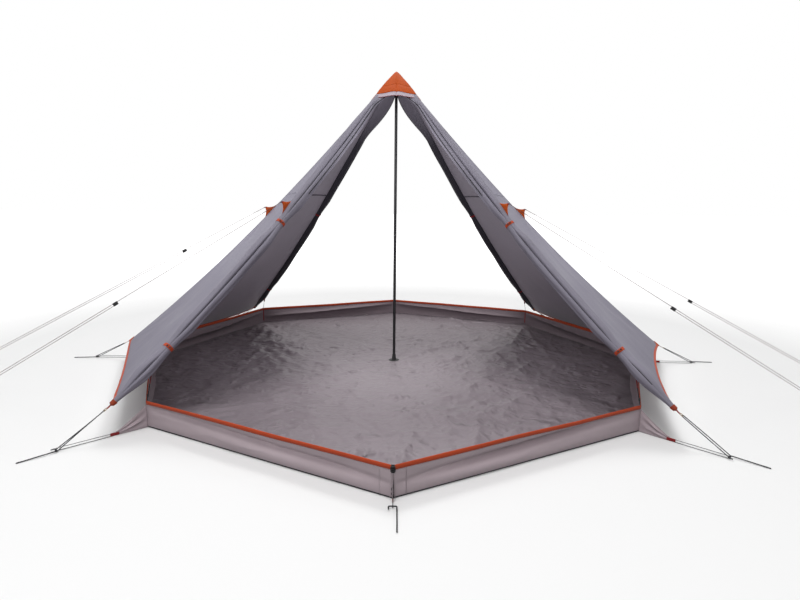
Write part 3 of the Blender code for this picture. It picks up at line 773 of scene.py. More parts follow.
world = bpy.data.worlds.new("studio")
bpy.context.scene.world = world
world.use_nodes = True
sky = world.node_tree
seen = seenDirectly(sky, addNode(sky, "LightPath"))
fill(sky.nodes["Background"], {"Strength": mapRange(sky, seen, (0, 1), (light["world"], 1.0)),
                               "Color": (1, 1, 1, 1)})

bm = bmesh.new()
bmesh.ops.create_grid(bm, x_segments=2, y_segments=2, size=60)
ground = meshPiece("studio_floor", bm, [], 50)
ground.location.z = -0.0005
floorPaint, tree, shader = newMaterial("white studio floor")
tree.nodes.remove(shader)
rays = addNode(tree, "LightPath")
pale = mapRange(tree, rays.outputs["Is Camera Ray"], (0, 1), (light["bounce"], light["floor"]))
place = addNode(tree, "TexCoord").outputs["Object"]
distance = addNode(tree, "VectorMath", {"operation": "LENGTH", 0: place})
evened = mapRange(tree, distance.outputs["Value"], (3.4, 9.0), (light["floorGlow"], 1.0))
power = mathNode(tree, "MULTIPLY", evened, seenDirectly(tree, rays))
glow = addNode(tree, "Emission", {"Color": (1, 1, 1, 1), "Strength": power})
total = addNode(tree, "AddShader", {0: addNode(tree, "BsdfDiffuse", {"Color": pale}), 1: glow})
fill(tree.nodes["Material Output"], {"Surface": total})
ground.data.materials.append(floorPaint)
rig.stage(ground)
print("camera and light done")


# Guy lines, their patches, runners and pegs

guy = {
    "share": 0.452, "cord": 0.0015, "loop": 0.0066, "gap": 0.0003, "strandSteps": 8, "loopSteps": 8,
    "pegs": {"left": (-3.29, -0.26), "right": (3.29, -0.26), "front_left": (-2.81, -0.91),
             "front_right": (2.81, -0.91)},
    "ties": {"left": (-1.0154, 0, 1.2337), "right": (1.0154, 0, 1.2337),
             "front_left": (-0.7354, -0.7354, 1.2765), "front_right": (0.7354, -0.7354, 1.2765)},
    "runnerShares": {"left": 0.27, "front_left": 0.52, "right": 0.56, "front_right": 0.52},
    "knot": {"start": 0.004, "length": 0.009, "radius": 0.0030, "cord": 0.0013, "turns": 2},
}
runnerSize = {"length": 0.034, "width": 0.022, "thickness": 0.008, "hole": 0.0021, "bevel": 0.0012}
patch = {"length": 0.12, "reach": 0.055, "tip": 0.010, "bow": 0.004, "inward": 0.010, "tab": 0.012}


def guyRoute(name):
    # The same route as the CAD line's: from the patch's tip, round the peg's hook and back to the runner
    tie = Vector(guy["ties"][name])
    ground = Vector((*guy["pegs"][name], 0))
    out = levelOf(ground - tie).normalized()
    hook = ground + upBy(peg["hookHeight"])
    radius = guy["loop"]
    hook -= (hook - tie).normalized() * (radius - peg["wire"] - guy["gap"] - guy["cord"])
    straight = hook - tie
    side = upBy(1).cross(out)
    down = Matrix.Rotation(-math.asin(radius / straight.length), 3, side) @ straight.normalized()
    normal = down.cross(side)
    run = math.sqrt(straight.length_squared - radius * radius)
    start = run * guy["runnerShares"][name]
    length = runnerSize["length"]
    tail = run - start - length - guy["gap"]
    strand = evenSteps(guy["strandSteps"])
    points = [tie + down * run * share for share in strand[:-1]]
    for share in evenSteps(guy["loopSteps"]):
        turn = math.pi * share
        points.append(hook + (normal * math.cos(turn) + down * math.sin(turn)) * radius)
    points += [hook - normal * radius - down * tail * share for share in strand[1:]]
    runnerPlace = uprightFrame(tie + down * (start + length / 2) - normal * radius, down, normal)
    return points, runnerPlace, ground, out


def pegPiece(name, hook, out, node):
    # Wire bent to a hook at one end, its other end ground to a point
    side = upBy(1).cross(out)
    half, turn, length = peg["span"] / 2, peg["wire"] * 2, peg["length"]
    flat = [(peg["reach"], -half), (turn * 1.6, -half)]
    for across, first, last in ((turn - half, -math.pi / 2, -math.pi), (half - turn, math.pi, math.pi / 2)):
        bends = [first + (last - first) * share for share in evenSteps(6)]
        flat += [(turn + turn * math.cos(bend), across + turn * math.sin(bend)) for bend in bends]
    flat += [(length * share, half) for share in (0.3, 0.6, 0.9, 0.985, 1)]
    drop = peg["wire"] + guy["gap"] - peg["hookHeight"]
    points = [hook + out * reach + side * across + upBy(peg["hookHeight"] + drop * max(reach, 0) / length)
              for reach, across in flat]
    taper = [0.8] + [1.0] * (len(flat) - 2) + [0.25]
    return tubePiece(name, points, peg["wire"], pegSteel, 10, taper=taper, replaces=[node])


def guyRunner(name, place):
    # A moulded bar with a waist and rounded ends, holed where the line passes
    bm = bmesh.new()
    length, width, thickness = (runnerSize[key] for key in ("length", "width", "thickness"))
    bmesh.ops.create_cube(bm, size=1, matrix=Matrix.Diagonal((length, width, thickness, 1)))
    bmesh.ops.subdivide_edges(bm, edges=bm.edges, cuts=3, use_grid_fill=True)
    for vert in bm.verts:
        vert.co.z *= 1 - 0.22 * (1 - (2 * vert.co.x / length) ** 2)
        vert.co.z *= 1 - 0.25 * abs(2 * vert.co.y / width) ** 4
    corners = [edge for edge in bm.edges if edge.calc_face_angle(0) > 0.9]
    bmesh.ops.bevel(bm, geom=corners, offset=runnerSize["bevel"], segments=2, profile=0.5, affect="EDGES",
                    material=-1)
    bmesh.ops.transform(bm, matrix=place, verts=bm.verts)
    bmesh.ops.recalc_face_normals(bm, faces=bm.faces)
    runner = meshPiece("runner_" + name, bm, blackAcetal, 40)
    cutter = bmesh.new()
    hole = place @ Matrix.Translation((0, guy["loop"], 0)) @ Matrix.Rotation(math.pi / 2, 4, "Y")
    bmesh.ops.create_cone(cutter, cap_ends=True, segments=20, radius1=runnerSize["hole"],
                          radius2=runnerSize["hole"], depth=length + 0.004, matrix=hole)
    holeTool = meshPiece("hole_tool", cutter, [], 50)
    runner.modifiers.new("hole", "BOOLEAN").object = holeTool
    bpy.context.view_layer.update()
    cut = bpy.data.meshes.new_from_object(runner.evaluated_get(bpy.context.evaluated_depsgraph_get()))
    runner.modifiers.clear()
    runner.data = cut
    bpy.data.objects.remove(holeTool, do_unlink=True)
    return finishPiece(runner, ["guy_runner_" + name], "runner_" + name)


def guyPatch(name):
    # A doubled triangle of orange cloth with a webbing loop at its tip, on the CAD patch's own edges
    angle = cornerAngle(name)
    along, up = ridgeDirections(angle, guy["share"])
    side = levelSide(angle)
    coords = [vert.co for vert in frame["nodes"]["guy_patch_" + name].data.vertices]
    lowEdge, crest = min(co.dot(up) for co in coords), max(co.dot(up) for co in coords)
    first, last = min(co.dot(along) for co in coords), max(co.dot(along) for co in coords)
    tips = [co.dot(along) for co in coords if co.dot(up) > crest - 0.001]
    tipCentre = sum(tips) / len(tips)
    level = ridgePoint(angle, guy["share"]).dot(side)
    base = (first + last) / 2
    mirror = 1 if name.endswith("left") else -1

    def place(across, rise):
        off = across - 0.5
        low = base + off * (last - first)
        position = low * (1 - rise) + (tipCentre + off * patch["tip"]) * rise
        bow = patch["bow"] * arch(across) * arch(rise) * mirror
        inward = -patch["inward"] * arch(rise) * (abs(off) * 2) ** 2 * (1 if off > 0 else -1)
        return along * (position + inward) + up * (lowEdge + rise * (crest - lowEdge)) + side * (level + bow)

    cloth = clothPiece("guy_patch_cloth_" + name, (14, 10), place, (last - first, crest - lowEdge), capCloth,
                       0.0016, replaces=["guy_patch_" + name])
    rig.sheet(cloth, flat=(patch["length"], patch["reach"]), held="stretched",
             rests_on=["fly_" + name.split("_")[-1]], area=0.5 * patch["length"] * patch["reach"])
    tip = along * tipCentre + up * crest + side * level
    fold = [(-0.012, 0), (-0.004, 0.002), (0.0015, 0), (-0.004, -0.002), (-0.012, 0)]
    loop = smoothPath([tip + up * rise + side * across for rise, across in fold], 4)
    tapePiece("guy_patch_tab_" + name, loop, along, patch["tab"], redWebbing, 0.001)


cordLengths = {}
for name in guy["pegs"]:
    points, runnerPlace, ground, out = guyRoute(name)
    line = tubePiece("line_" + name, points, guy["cord"], guyBraid, 10, replaces=["guy_line_" + name])
    runner = guyRunner(name, runnerPlace)
    pegPiece("peg_guy_" + name, ground, out, "guy_peg_" + name)
    cordLengths[name] = round(pathLengths(points)[-1], 3)
    knotLook = guy["knot"]
    along = (points[1] - points[0]).normalized()
    side = along.orthogonal().normalized()
    knotTurns = []
    for share in evenSteps(24):
        turn = math.tau * knotLook["turns"] * share
        spin = side * math.cos(turn) + along.cross(side) * math.sin(turn)
        knotTurns.append(points[0] + along * (knotLook["start"] + knotLook["length"] * share)
                         + spin * knotLook["radius"])
    knot = tubePiece("line_knot_" + name, knotTurns, knotLook["cord"], guyBraid)
    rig.cord(line, exit=points[0], length=cordLengths[name], diameter=2 * guy["cord"], far_end="fitting",
            stiffness="limp", lay="taut", path=points, with_pieces=[runner, knot])
    guyPatch(name)
print("guy lines done", cordLengths)


# Groundsheet

floorFolds = {
    "lowest": 0.0006, "grid": 0.015, "inset": 0.0016, "creaseWeight": 1.9,
    # how high the swells stand, and each net of creases: its height, what patches add, its scale and its seed
    "swell": 0.0050,
    "nets": [(0.0090, 0, 1.9, 1.5, 5.0), (0.0036, 0.0085, 4.2, 3.4, 7.0), (0.0022, 0.0050, 10, 6.5, 2.0)],
    # creases as the sheet was packed and pulled: end points, width and height
    "creases": [
        ((-1.36, 1.36), (-0.95, 0.10), 0.030, 0.0075), ((-1.34, 1.34), (-0.35, 0.55), 0.022, 0.0055),
        ((-1.33, 1.36), (-1.20, -0.60), 0.026, 0.0050), ((1.36, 1.36), (0.98, 0.15), 0.028, 0.0065),
        ((1.34, 1.34), (0.45, 0.62), 0.022, 0.0050), ((1.34, 1.36), (1.28, -0.30), 0.024, 0.0050),
        ((0.06, -0.03), (0.72, -0.42), 0.020, 0.0045), ((-0.06, -0.05), (-0.70, -0.30), 0.020, 0.0040),
        ((0.02, 0.07), (0.28, 0.75), 0.020, 0.0040), ((-0.04, 0.07), (-0.42, 0.66), 0.020, 0.0040),
        ((0.0, -0.08), (-0.12, -1.05), 0.022, 0.0040), ((-1.36, -1.32), (-0.62, -0.90), 0.024, 0.0050),
        ((1.36, -1.32), (0.60, -0.86), 0.024, 0.0050), ((0.0, -2.02), (0.16, -1.20), 0.022, 0.0055),
        ((0.0, -2.02), (-0.34, -1.34), 0.022, 0.0045), ((-1.90, 0.0), (-1.10, -0.20), 0.026, 0.0055),
        ((1.90, 0.0), (1.12, -0.16), 0.026, 0.0055), ((-0.9, -0.62), (0.3, -0.94), 0.018, 0.0035),
        ((0.35, -0.55), (1.35, -0.72), 0.018, 0.0040), ((0.9, 0.35), (1.55, -0.20), 0.020, 0.0045),
        ((-1.5, 0.45), (-0.55, 0.05), 0.020, 0.0040), ((-0.55, 1.05), (0.62, 1.12), 0.020, 0.0035),
        ((-0.2, 1.55), (0.1, 0.6), 0.020, 0.0035), ((0.7, 1.45), (0.75, 0.4), 0.020, 0.0035),
        ((0.05, 0.0), (0.78, 0.74), 0.013, 0.0090), ((-0.05, -0.02), (-0.62, -0.78), 0.014, 0.0050),
    ],
}


def creaseHeight(x, y):
    height = 0.0
    for (ax, ay), (bx, by), width, depth in floorFolds["creases"]:
        length = math.hypot(bx - ax, by - ay)
        share = ((x - ax) * (bx - ax) + (y - ay) * (by - ay)) / length ** 2
        if not -0.08 < share < 1.08:
            continue
        wander = 0.035 * ripple(share * length * 2.3, ax * 7, by * 5)
        distance = ((x - ax) * (by - ay) - (y - ay) * (bx - ax)) / length - wander
        taper = smooth((share + 0.08) * 5) * smooth((1.08 - share) * 2.2)
        height += depth * taper * bell(distance, width * (0.8 + 0.5 * share), 1.3)
    return height


def floorHeight(x, y):
    # Low swells, packing creases, and a finer crumple in patches, most towards the rear corners
    patches = smooth(0.40 + 1.1 * ripple(x * 0.9, y * 0.9, 3.0))
    patches += 1.5 * bell(abs(x) - 1.0, 0.26) * bell(y - 0.35, 0.55)
    warpX, warpY = x + 0.06 * ripple(x * 2, y * 2, 9.0), y + 0.06 * ripple(x * 2, y * 2, 12.0)
    height = floorFolds["swell"] * (0.5 + ripple(x * 1.3, y * 1.1, 1.0))
    for depth, added, scaleX, scaleY, seed in floorFolds["nets"]:
        height += (depth + added * patches) * crease(warpX * scaleX, warpY * scaleY, seed)
    height += creaseHeight(x, y) * floorFolds["creaseWeight"]
    # it lies flatter at the wall and under the pole's foot
    rim = smooth((tub["radius"] * math.cos(halfTurn) - math.hypot(x, y)) / 0.10 + 0.2)
    foot = smooth((math.hypot(x, y) - 0.05) / 0.06)
    return floorFolds["lowest"] + max(height, 0.0) * (0.35 + 0.65 * rim) * (0.25 + 0.75 * foot)


def makeFloor():
    width = 2 * (tubCorner(0).length + 0.02)
    count = int(width / floorFolds["grid"])
    bm = clothGrid((count, count), lambda across, up: Vector(((across - 0.5) * width, (up - 0.5) * width, 0)),
                   (width, width))
    corners = [tubMitre(index, -floorFolds["inset"]) for index in range(8)]
    area = 0.0
    for here, following in zip(corners, corners[1:] + corners[:1]):
        out = Vector(((following - here).y, -(following - here).x, 0)).normalized()
        bmesh.ops.bisect_plane(bm, geom=bm.verts[:] + bm.edges[:] + bm.faces[:], plane_co=here, plane_no=out,
                               clear_outer=True)
        area += (here.x * following.y - here.y * following.x) / 2
    for vert in bm.verts:
        vert.co.z = floorHeight(vert.co.x, vert.co.y)
    floor = finishPiece(meshPiece("groundsheet_cloth", bm, floorCloth, 180), ["groundsheet_floor"])
    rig.sheet(floor, flat=(3.96, 4.13), held="laid", area=area)


makeFloor()
print("groundsheet done")


# Tub wall

wall = {
    "columns": 60, "rows": 28, "low": 0.0016, "high": 0.0015,
    # the binding's section: how far it stands out and how high over its lower edge
    "binding": ((0.0026, 0.0), (0.0030, 0.012), (0.0027, 0.0196), (0.0012, 0.0212), (-0.0012, 0.0212),
                (-0.0027, 0.0196), (-0.0030, 0.012), (-0.0026, 0.0)),
    "bindingFlat": 0.046, "tapeRise": 0.018,
}


def sideOf(across):
    # Which of the eight sides, and how far along it
    return min(int(across * 8 + tiny), 7), (across * 8) % 1


def edgeWave(across):
    # How far the taped top edge wanders out and up between the corners
    side = sideOf(across)[1]
    index = int(across * 8 + tiny)
    held = arch(side)
    return (held * 0.0075 * ripple(side * 2.6, 8.3, index * 2.3),
            held * 0.0040 * ripple(side * 3.4, 1.9, index * 4.1))


def wallPoint(across, rise, proud=0.0):
    # One long fold runs along each side, high at one corner and low at the other; the cloth bulges below it
    index, side = sideOf(across)
    rise = min(max(rise, 0.0), 1.0)
    slow = ripple(side * 2.2, rise * 1.5, index * 3.7)
    line = 0.42 + 0.34 * (side if index < 4 else 1 - side) + 0.05 * ripple(side * 3.1, 0.7, index * 5.3)
    fold = (rise / line) ** 1.5 if rise < line else ((1 - rise) / (1 - line)) ** 2.0
    fold = 0.55 * fold + 0.60 * bell(rise - line, 0.095)
    fold *= 0.9 + 0.5 * ripple(side * 2.7, 2.4, index * 2.9)
    bulge = arch(min(rise / line, 1)) * (0.8 + 0.6 * ripple(side * 2.0, 5.1, index))
    upper = bell(rise - 0.90, 0.07) * (0.5 + ripple(side * 4.0, 1.3, index * 1.7))
    fine = crease(side * 6 + 0.8 * slow, rise * 2.0 - side * 1.6, index * 2.1 + 8) * arch(rise)
    offset = -0.0400 * fold + 0.0170 * bulge + 0.0040 * upper + 0.0035 * fine + 0.0040 * slow * arch(rise)
    offset *= arch(side) ** 0.7 if side > 0 else 0.0
    # gathers beside the corners
    corner = min(side, 1 - side)
    gather = bell(corner, 0.07, 1) * corner * 14
    offset += 0.0030 * gather * math.sin(16 * rise + 4 * slow) * arch(rise)
    out, up = edgeWave(across)
    height = wall["low"] + rise * (tub["height"] - wall["high"] - wall["low"] + up)
    return tubPoint(across, offset + out * rise + proud) + upBy(height)


def makeWall():
    columns = wall["columns"] * 8
    perimeter = sum((tubCorner(index) - tubCorner(index + 1)).length for index in range(8))
    cloth = clothPiece("tub_wall_cloth", (columns, wall["rows"]), wallPoint, (perimeter, tub["height"]),
                       [wallCloth, wallInside], tub["cloth"], ring=True, replaces=["tub_wall"])
    section = wall["binding"]
    low = tub["height"] - tub["binding"] - 0.0008

    def bindingPlace(across, up):
        # Orange tape folded over the top edge: it follows the wall's folds below and runs straighter above
        offset, height = section[round(up * (len(section) - 1))]
        rise = low + min(height, wall["tapeRise"]) - wall["low"]
        base = wallPoint(across, rise / (tub["height"] - wall["high"] - wall["low"]))
        wander, lift = edgeWave(across)
        settled = tubPoint(across, wander).lerp(levelOf(base), 1 - smooth(height / wall["tapeRise"]))
        wave = 0.0006 * ripple(across * 220, 0.3, 5) if height > 0.015 else 0.0
        return settled + tubNormal(across) * offset + upBy(low + height + lift - 0.0004 + wave)

    binding = clothPiece("tub_binding_tape", (columns, len(section) - 1), bindingPlace,
                         (perimeter, wall["bindingFlat"]), bindingTape, 0.0006, ring=True,
                         replaces=["tub_binding"])
    seam = clothPiece("tub_floor_seam", (columns, 2),
                      lambda across, up: wallPoint(across, 0.004 + 0.045 * up, 0.0011),
                      (perimeter, 0.008), blackSeam, 0.0008, ring=True)
    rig.sheet(cloth, flat=(perimeter, 0.16), held="stretched", with_pieces=[binding, seam])


makeWall()
print("tub wall done")


# Fly

# Each side's two panels: the doorway beside each, how far its hem is cut up or hangs, and how it sags
flySides = {
    "right": {"first": cornerAngle("front_right"), "doors": ("front", "back"), "cuts": (0.025, -0.078),
              "sags": (fly["faceSag"], fly["faceSag"]), "seed": 11.0},
    "left": {"first": cornerAngle("back_left"), "doors": ("back", "front"), "cuts": (-0.078, -0.016),
             "sags": (fly["faceSag"], 0.016), "seed": 29.0},
}
flyLooks = {
    "rows": 150, "columns": 112, "areaSteps": 24,
    # the hem tape's section: how far up the cloth and how far off it
    "hem": ((0.0230, 0.0014), (0.004, 0.0017), (-0.0006, 0.0009), (-0.0006, -0.0009), (0.004, -0.0017),
            (0.0230, -0.0014)),
    "hemFlat": 0.034, "seam": 0.013, "crossSeam": 0.014, "crossShare": 0.39,
}


def rayFolds(across, along, at, aim, spread, waves, depth, reach, phase):
    # Folds that fan out of a point where the cloth is pulled
    du, dv = across - at[0], along - at[1]
    distance = math.hypot(du, dv)
    turn = wrapped(math.atan2(du, dv) - aim)
    if abs(turn) > spread or distance < tiny:
        return 0.0
    fade = math.cos(turn / spread * math.pi / 2) * distance / (distance + 0.12) * bell(distance, reach, 1)
    return depth * fade * math.cos(waves * turn + phase)


def panelFolds(side, panel, inside, share, width):
    # Folds pulled from the hem corners and the guy patch, over a slow billow
    seed = flySides[side]["seed"] + panel * 5
    across, along = inside * width, share * ridgeRun
    inward = 1 if panel else -1
    hemCorner, farCorner = (0.0, ridgeRun), (panelWidth(1), ridgeRun)
    guyPoint = (0.0 if panel else width, guy["share"] * ridgeRun)
    folds = rayFolds(across, along, hemCorner, math.pi - 0.55, 0.75, 17, 0.0055, 0.42, seed)
    folds += rayFolds(across, along, farCorner, math.pi + 0.55, 0.75, 16, 0.0055, 0.42, seed + 1)
    folds += rayFolds(across, along, guyPoint, inward * 0.75, 0.8, 12, 0.0050, 0.40, seed + 2)
    folds += rayFolds(across, along, guyPoint, inward * 2.2, 0.7, 11, 0.0035, 0.30, seed + 3)
    folds += 0.0060 * ripple(across * 1.7, along * 0.75, seed)
    folds += 0.0028 * ripple(across * 5.5 + along * 1.2, along * 1.3, seed + 2)
    folds += 0.0018 * crease(across * 3.2 - along * 0.8, along * 1.1, seed + 4)
    held = smooth(min(inside, 1 - inside) * 9) * smooth((share - flyTop) * 9)
    return folds * held * (0.45 + 0.55 * smooth((1 - share) * 14))


def flyPoint(side, across, share, lift=0.0):
    spec = flySides[side]
    panel = min(int(across * 2 + tiny), 1)
    inside = across * 2 - panel
    width = panelWidth(share)
    # the cloth ends on the rolled door beside it
    edge = 0.80 * rollSize(max(share, rollStart), spec["doors"][panel])[0] / width
    inside = inside * (1 - edge) + (0 if panel else edge)
    cut = spec["cuts"][panel]
    bow = 4 * inside * (1 - inside) if cut > 0 else 1 - abs(2 * inside - 1) ** 5
    along = share - cut / ridgeRun * bow * smooth((share - 0.7) / 0.3)
    raised = lift + panelFolds(side, panel, inside, along, width)
    return panelPoint(spec["first"] + panel * cornerTurn, along, inside, raised, spec["sags"][panel])


def flyArea(side):
    steps = flyLooks["areaSteps"]
    area = 0.0
    for row in range(steps):
        lower, upper = (flyTop + (1 - flyTop) * (row + way) / steps for way in (0, 1))
        for column in range(steps):
            left, right = column / steps, (column + 1) / steps
            a, b = flyPoint(side, left, lower), flyPoint(side, right, lower)
            c, d = flyPoint(side, right, upper), flyPoint(side, left, upper)
            area += ((b - a).cross(c - a).length + (c - a).cross(d - a).length) / 2
    return area


def makeFlySide(side):
    rows, columns = flyLooks["rows"], flyLooks["columns"]
    flatWidth = 2 * panelWidth(1)

    def shareAt(up):
        return 1 + (flyTop - 1) * up

    bm = clothGrid((columns, rows), lambda across, up: flyPoint(side, across, shareAt(up)), (1, 1))
    uv = bm.loops.layers.uv["cloth"]
    for face in bm.faces:
        for loop in face.loops:
            across, up = loop[uv].uv
            loop[uv].uv = ((across - 0.5) * flatWidth * shareAt(up), shareAt(up) * ridgeRun)
    cloth = thicken(meshPiece("fly_cloth_" + side, bm, [flyCloth, flyInside], 60), fly["cloth"])
    finishPiece(cloth, ["fly_" + side])
    section = flyLooks["hem"]

    def hemPlace(across, up):
        # Orange hem tape folded round the lower edge
        back, lift = section[round(up * (len(section) - 1))]
        return flyPoint(side, across, 1 - back / ridgeRun, lift + 0.0004 * ripple(across * 60, 2, 3))

    def ridgePlace(across, up):
        # The felled seam along the side ridge
        width = flyLooks["seam"] / panelWidth(max(shareAt(up), 0.05))
        return flyPoint(side, 0.5 + (across - 0.5) * width, shareAt(up), 0.0010)

    hem = clothPiece("fly_hem_" + side, (columns, len(section) - 1), hemPlace,
                     (flatWidth, flyLooks["hemFlat"]), bindingTape, 0.0006)
    seam = clothPiece("fly_ridge_seam_" + side, (6, rows), ridgePlace, (flyLooks["seam"], ridgeRun), flyCloth)
    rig.sheet(cloth, flat=(2 * 1.66, 3.02), held="stretched", with_pieces=[hem, seam], area=flyArea(side))


makeFlySide("right")
makeFlySide("left")
print("fly done")


# Rolled doors

rollLooks = {
    "sides": 96, "rows": 240, "flat": 0.26,
    # each lengthwise crease: where round the roll, how deep, how wide in radians, how it wanders
    "front": [(5.25, 0.50, 0.15, 0.03), (0.82, 0.20, 0.22, 0.10), (2.3, 0.14, 0.30, 0.45),
              (3.3, 0.14, 0.28, 0.4), (4.25, 0.25, 0.24, 0.15), (0.10, 0.10, 0.30, 0.20)],
    "back": [(0.6, 0.22, 0.20, 0.30), (1.7, 0.18, 0.18, 0.35), (2.6, 0.22, 0.20, 0.35),
             (3.6, 0.18, 0.18, 0.3), (4.5, 0.28, 0.22, 0.30), (5.4, 0.22, 0.20, 0.35)],
}


def rollPoint(corner, turn, share, proud=0.0):
    door = doorOf(corner)
    angle = cornerAngle(corner)
    doorway = (heading(cornerAngle(door)) - heading(angle)).normalized()
    side = levelSide(angle)
    if side.dot(doorway) > 0:
        side.negate()
    seed = cornerNames.index(corner) * 3.1
    size, loose = rollSize(share, door)
    size *= 0.08 + 0.92 * smooth((share - flyTop) / (rollStart - flyTop))
    depth = 0.0
    for place, deep, wide, wander in rollLooks[door]:
        centre = place + wander * ripple(share * 4.0, place * 3, seed) * 2
        strength = 0.65 + 0.7 * ripple(share * 5, place, seed + 20)
        depth -= deep * strength * bell(wrapped(turn - centre), wide, 1.4)
    depth += 0.10 * roundRipple(turn, 1.6, share * 11 + seed)
    # The door's edge overlaps the roll in a small step
    lap = (turn - 3.9 - 0.3 * ripple(share * 3, 1, seed)) % math.tau / math.tau
    depth += 0.10 * (1 - lap)
    gather = bell(tieDistance(share, door), 0.05, 1)
    depth = depth * (0.25 + 0.75 * loose) - gather * (0.055 + 0.03 * math.cos(15 * turn + seed))
    size = size * (1 + depth) + proud
    # Above its fan the door is still gathered flat towards the doorway
    fan = max(0.0, fanWidth(share, door) - size)
    along = (ridgePoint(angle, share + 0.001) - ridgePoint(angle, share)).normalized()
    spread = (doorway - along * doorway.dot(along)).normalized()
    rim = ridgePoint(angle, share, size * math.cos(turn)) + side * size * math.sin(turn)
    return rim + spread * fan * max(0.0, -math.sin(turn)) ** 2


def makeRoll(corner):
    last = 1 + 0.004 / ridgeRun

    def place(across, up):
        return rollPoint(corner, across * math.tau, flyTop + (last - flyTop) * up)

    bm = clothGrid((rollLooks["sides"], rollLooks["rows"]), place, (rollLooks["flat"], ridgeRun), ring=True)
    bmesh.ops.holes_fill(bm, edges=[edge for edge in bm.edges if edge.is_boundary], sides=0)
    bmesh.ops.recalc_face_normals(bm, faces=bm.faces)
    # the rear rolls take the door cloth with painted shade
    finish = doorCloth if doorOf(corner) == "front" else paintedShadeDoorCloth
    finishPiece(meshPiece("rolled_door_" + corner, bm, finish, 70), ["door_roll_" + corner])


for corner in doorCorners:
    makeRoll(corner)
print("rolled doors done")


# Ties and toggles

toggle = {
    "length": 0.030, "radius": 0.0040, "turn": math.radians(60), "loop": 0.0034, "loopWidth": 0.007,
    # half a barrel from its waist to its end, as shares of its radius and length
    "front": [(0.72, 0), (0.74, 0.14), (0.86, 0.22), (1.0, 0.30), (1.0, 0.44), (0.92, 0.475), (0.62, 0.5),
              (0, 0.5)],
    "back": [(0.72, 0), (0.74, 0.14), (1.0, 0.30), (0.95, 0.47), (0.62, 0.5), (0, 0.5)],
}
tieLooks = {
    "front": {"gap": 0.0005, "belly": 0.0003, "dents": 0.0002, "width": 1.0, "skew": 0.0012, "rows": 8,
              "thickness": 0.0007, "lift": 0.0361, "steps": 20},
    "back": {"gap": 0.0006, "belly": 0.0007, "dents": 0.0008, "width": 0.8, "skew": 0.0015, "rows": 6,
             "thickness": 0.0010, "lift": 0.0358, "steps": 16},
}


def makeTie(corner, level, share):
    # A band round the roll and a toggle on it; only the front toggles are nodes that swivel
    door = doorOf(corner)
    looks = tieLooks[door]
    front = door == "front"
    label = f"{level}_{corner.split('_')[1] if front else corner}"
    place = ridgeFrame(cornerAngle(corner), share)
    inner = roll["tied"] + looks["gap"]
    width = roll["tieWidth"] * looks["width"]

    def bandPlace(across, up):
        turn = across * math.tau
        size = inner + looks["belly"] * arch(up) + looks["dents"] * roundRipple(turn, 2, share * 9)
        height = (up - 0.5) * width + looks["skew"] * math.sin(2 * turn)
        return place @ Vector((size * math.cos(turn), size * math.sin(turn), height))

    clothPiece("tie_band_" + label, (64, looks["rows"]), bandPlace, (inner * math.tau, width),
               bindingTape if front else redWebbing, looks["thickness"], 1.0, ring=True,
               replaces=["roll_tie_" + label] if front else ())
    turn = toggle["turn"] * (1 if corner.endswith("left") else -1)
    local = place @ Matrix.Rotation(turn, 4, "Z") @ Matrix.Translation((looks["lift"], 0, 0))
    if front:
        # The loop round the toggle's waist turns with it
        bends = [math.tau * share for share in evenSteps(16)]
        loop = [local @ (Vector((math.cos(bend), 0, math.sin(bend))) * toggle["loop"]) for bend in bends]
        tapePiece("toggle_loop_" + label, loop, local.to_3x3() @ Vector((0, 1, 0)), toggle["loopWidth"],
                  bindingTape, 0.0005, body="swivel_" + label)
    half = [(radius * toggle["radius"], height * toggle["length"]) for radius, height in toggle[door]]
    profile = [(radius, -height) for radius, height in reversed(half[1:])] + half
    turnedPiece("toggle_barrel_" + label, profile, local @ Matrix.Rotation(math.pi / 2, 4, "X"), blackAcetal,
                looks["steps"], body="swivel_" + label if front else "tent",
                replaces=["toggle_" + label] if front else ())


def makeTies(corner):
    for level, share in zip(("upper", "lower"), rolls[doorOf(corner)]["ties"]):
        makeTie(corner, level, share)


for corner in doorCorners[:2]:
    makeTies(corner)
print("ties done")


# Cap and pole

cap = {
    "columns": 96, "rows": 22, "around": 0.71, "up": 0.16, "lift": 0.0036, "tip": 0.0004, "overRoll": 0.0205,
    "skirtUp": 0.090, "skirtLift": 0.0040, "skirtDrop": 0.0016, "skirtUnder": 0.006,
    # shares of the ridge down to the hem and on to the skirt's edge, and how far door and rear change them
    "hem": 0.0610, "frontRise": 0.0115, "rearRise": 0.006, "riseTurn": 0.42,
    "skirt": 0.026, "rearCut": 0.021, "cutTurn": 0.6,
}


def capSkirt(angle):
    # The orange skirt below the cap is short at the back
    return cap["skirt"] - cap["rearCut"] * bell(abs(wrapped(angle)) - math.pi, cap["cutTurn"])


def capHem(angle):
    # The hem rises over the front doorway, where the collar shows under it
    off, width = wrapped(angle), cap["riseTurn"]
    return (cap["hem"] - cap["frontRise"] * bell(off, width)
            - cap["rearRise"] * bell(abs(off) - math.pi, width))


def capSurface(angle, share, lift):
    # The cap's cone, rounded between its seams and raised over the rolled doors' tops
    turn = (angle % math.tau) / cornerTurn
    index = min(int(turn + tiny), 7)
    flat = panelPoint(index * cornerTurn, share, turn - index, lift, sag=0)
    level = levelOf(flat)
    level = level.lerp(level.normalized() * fly["radius"] * share, 0.35)
    odd = abs((angle / cornerTurn) % 2 - 1)
    beside = min(angle % math.pi, math.pi - angle % math.pi) < cornerTurn
    reach = math.sqrt(max(1 - odd, 0)) if beside else bell(odd * cornerTurn, 0.20)
    over = 0.7 * cap["overRoll"] * smooth(share / 0.070) * reach
    return level + level.normalized() * over + upBy(flat.z + over)


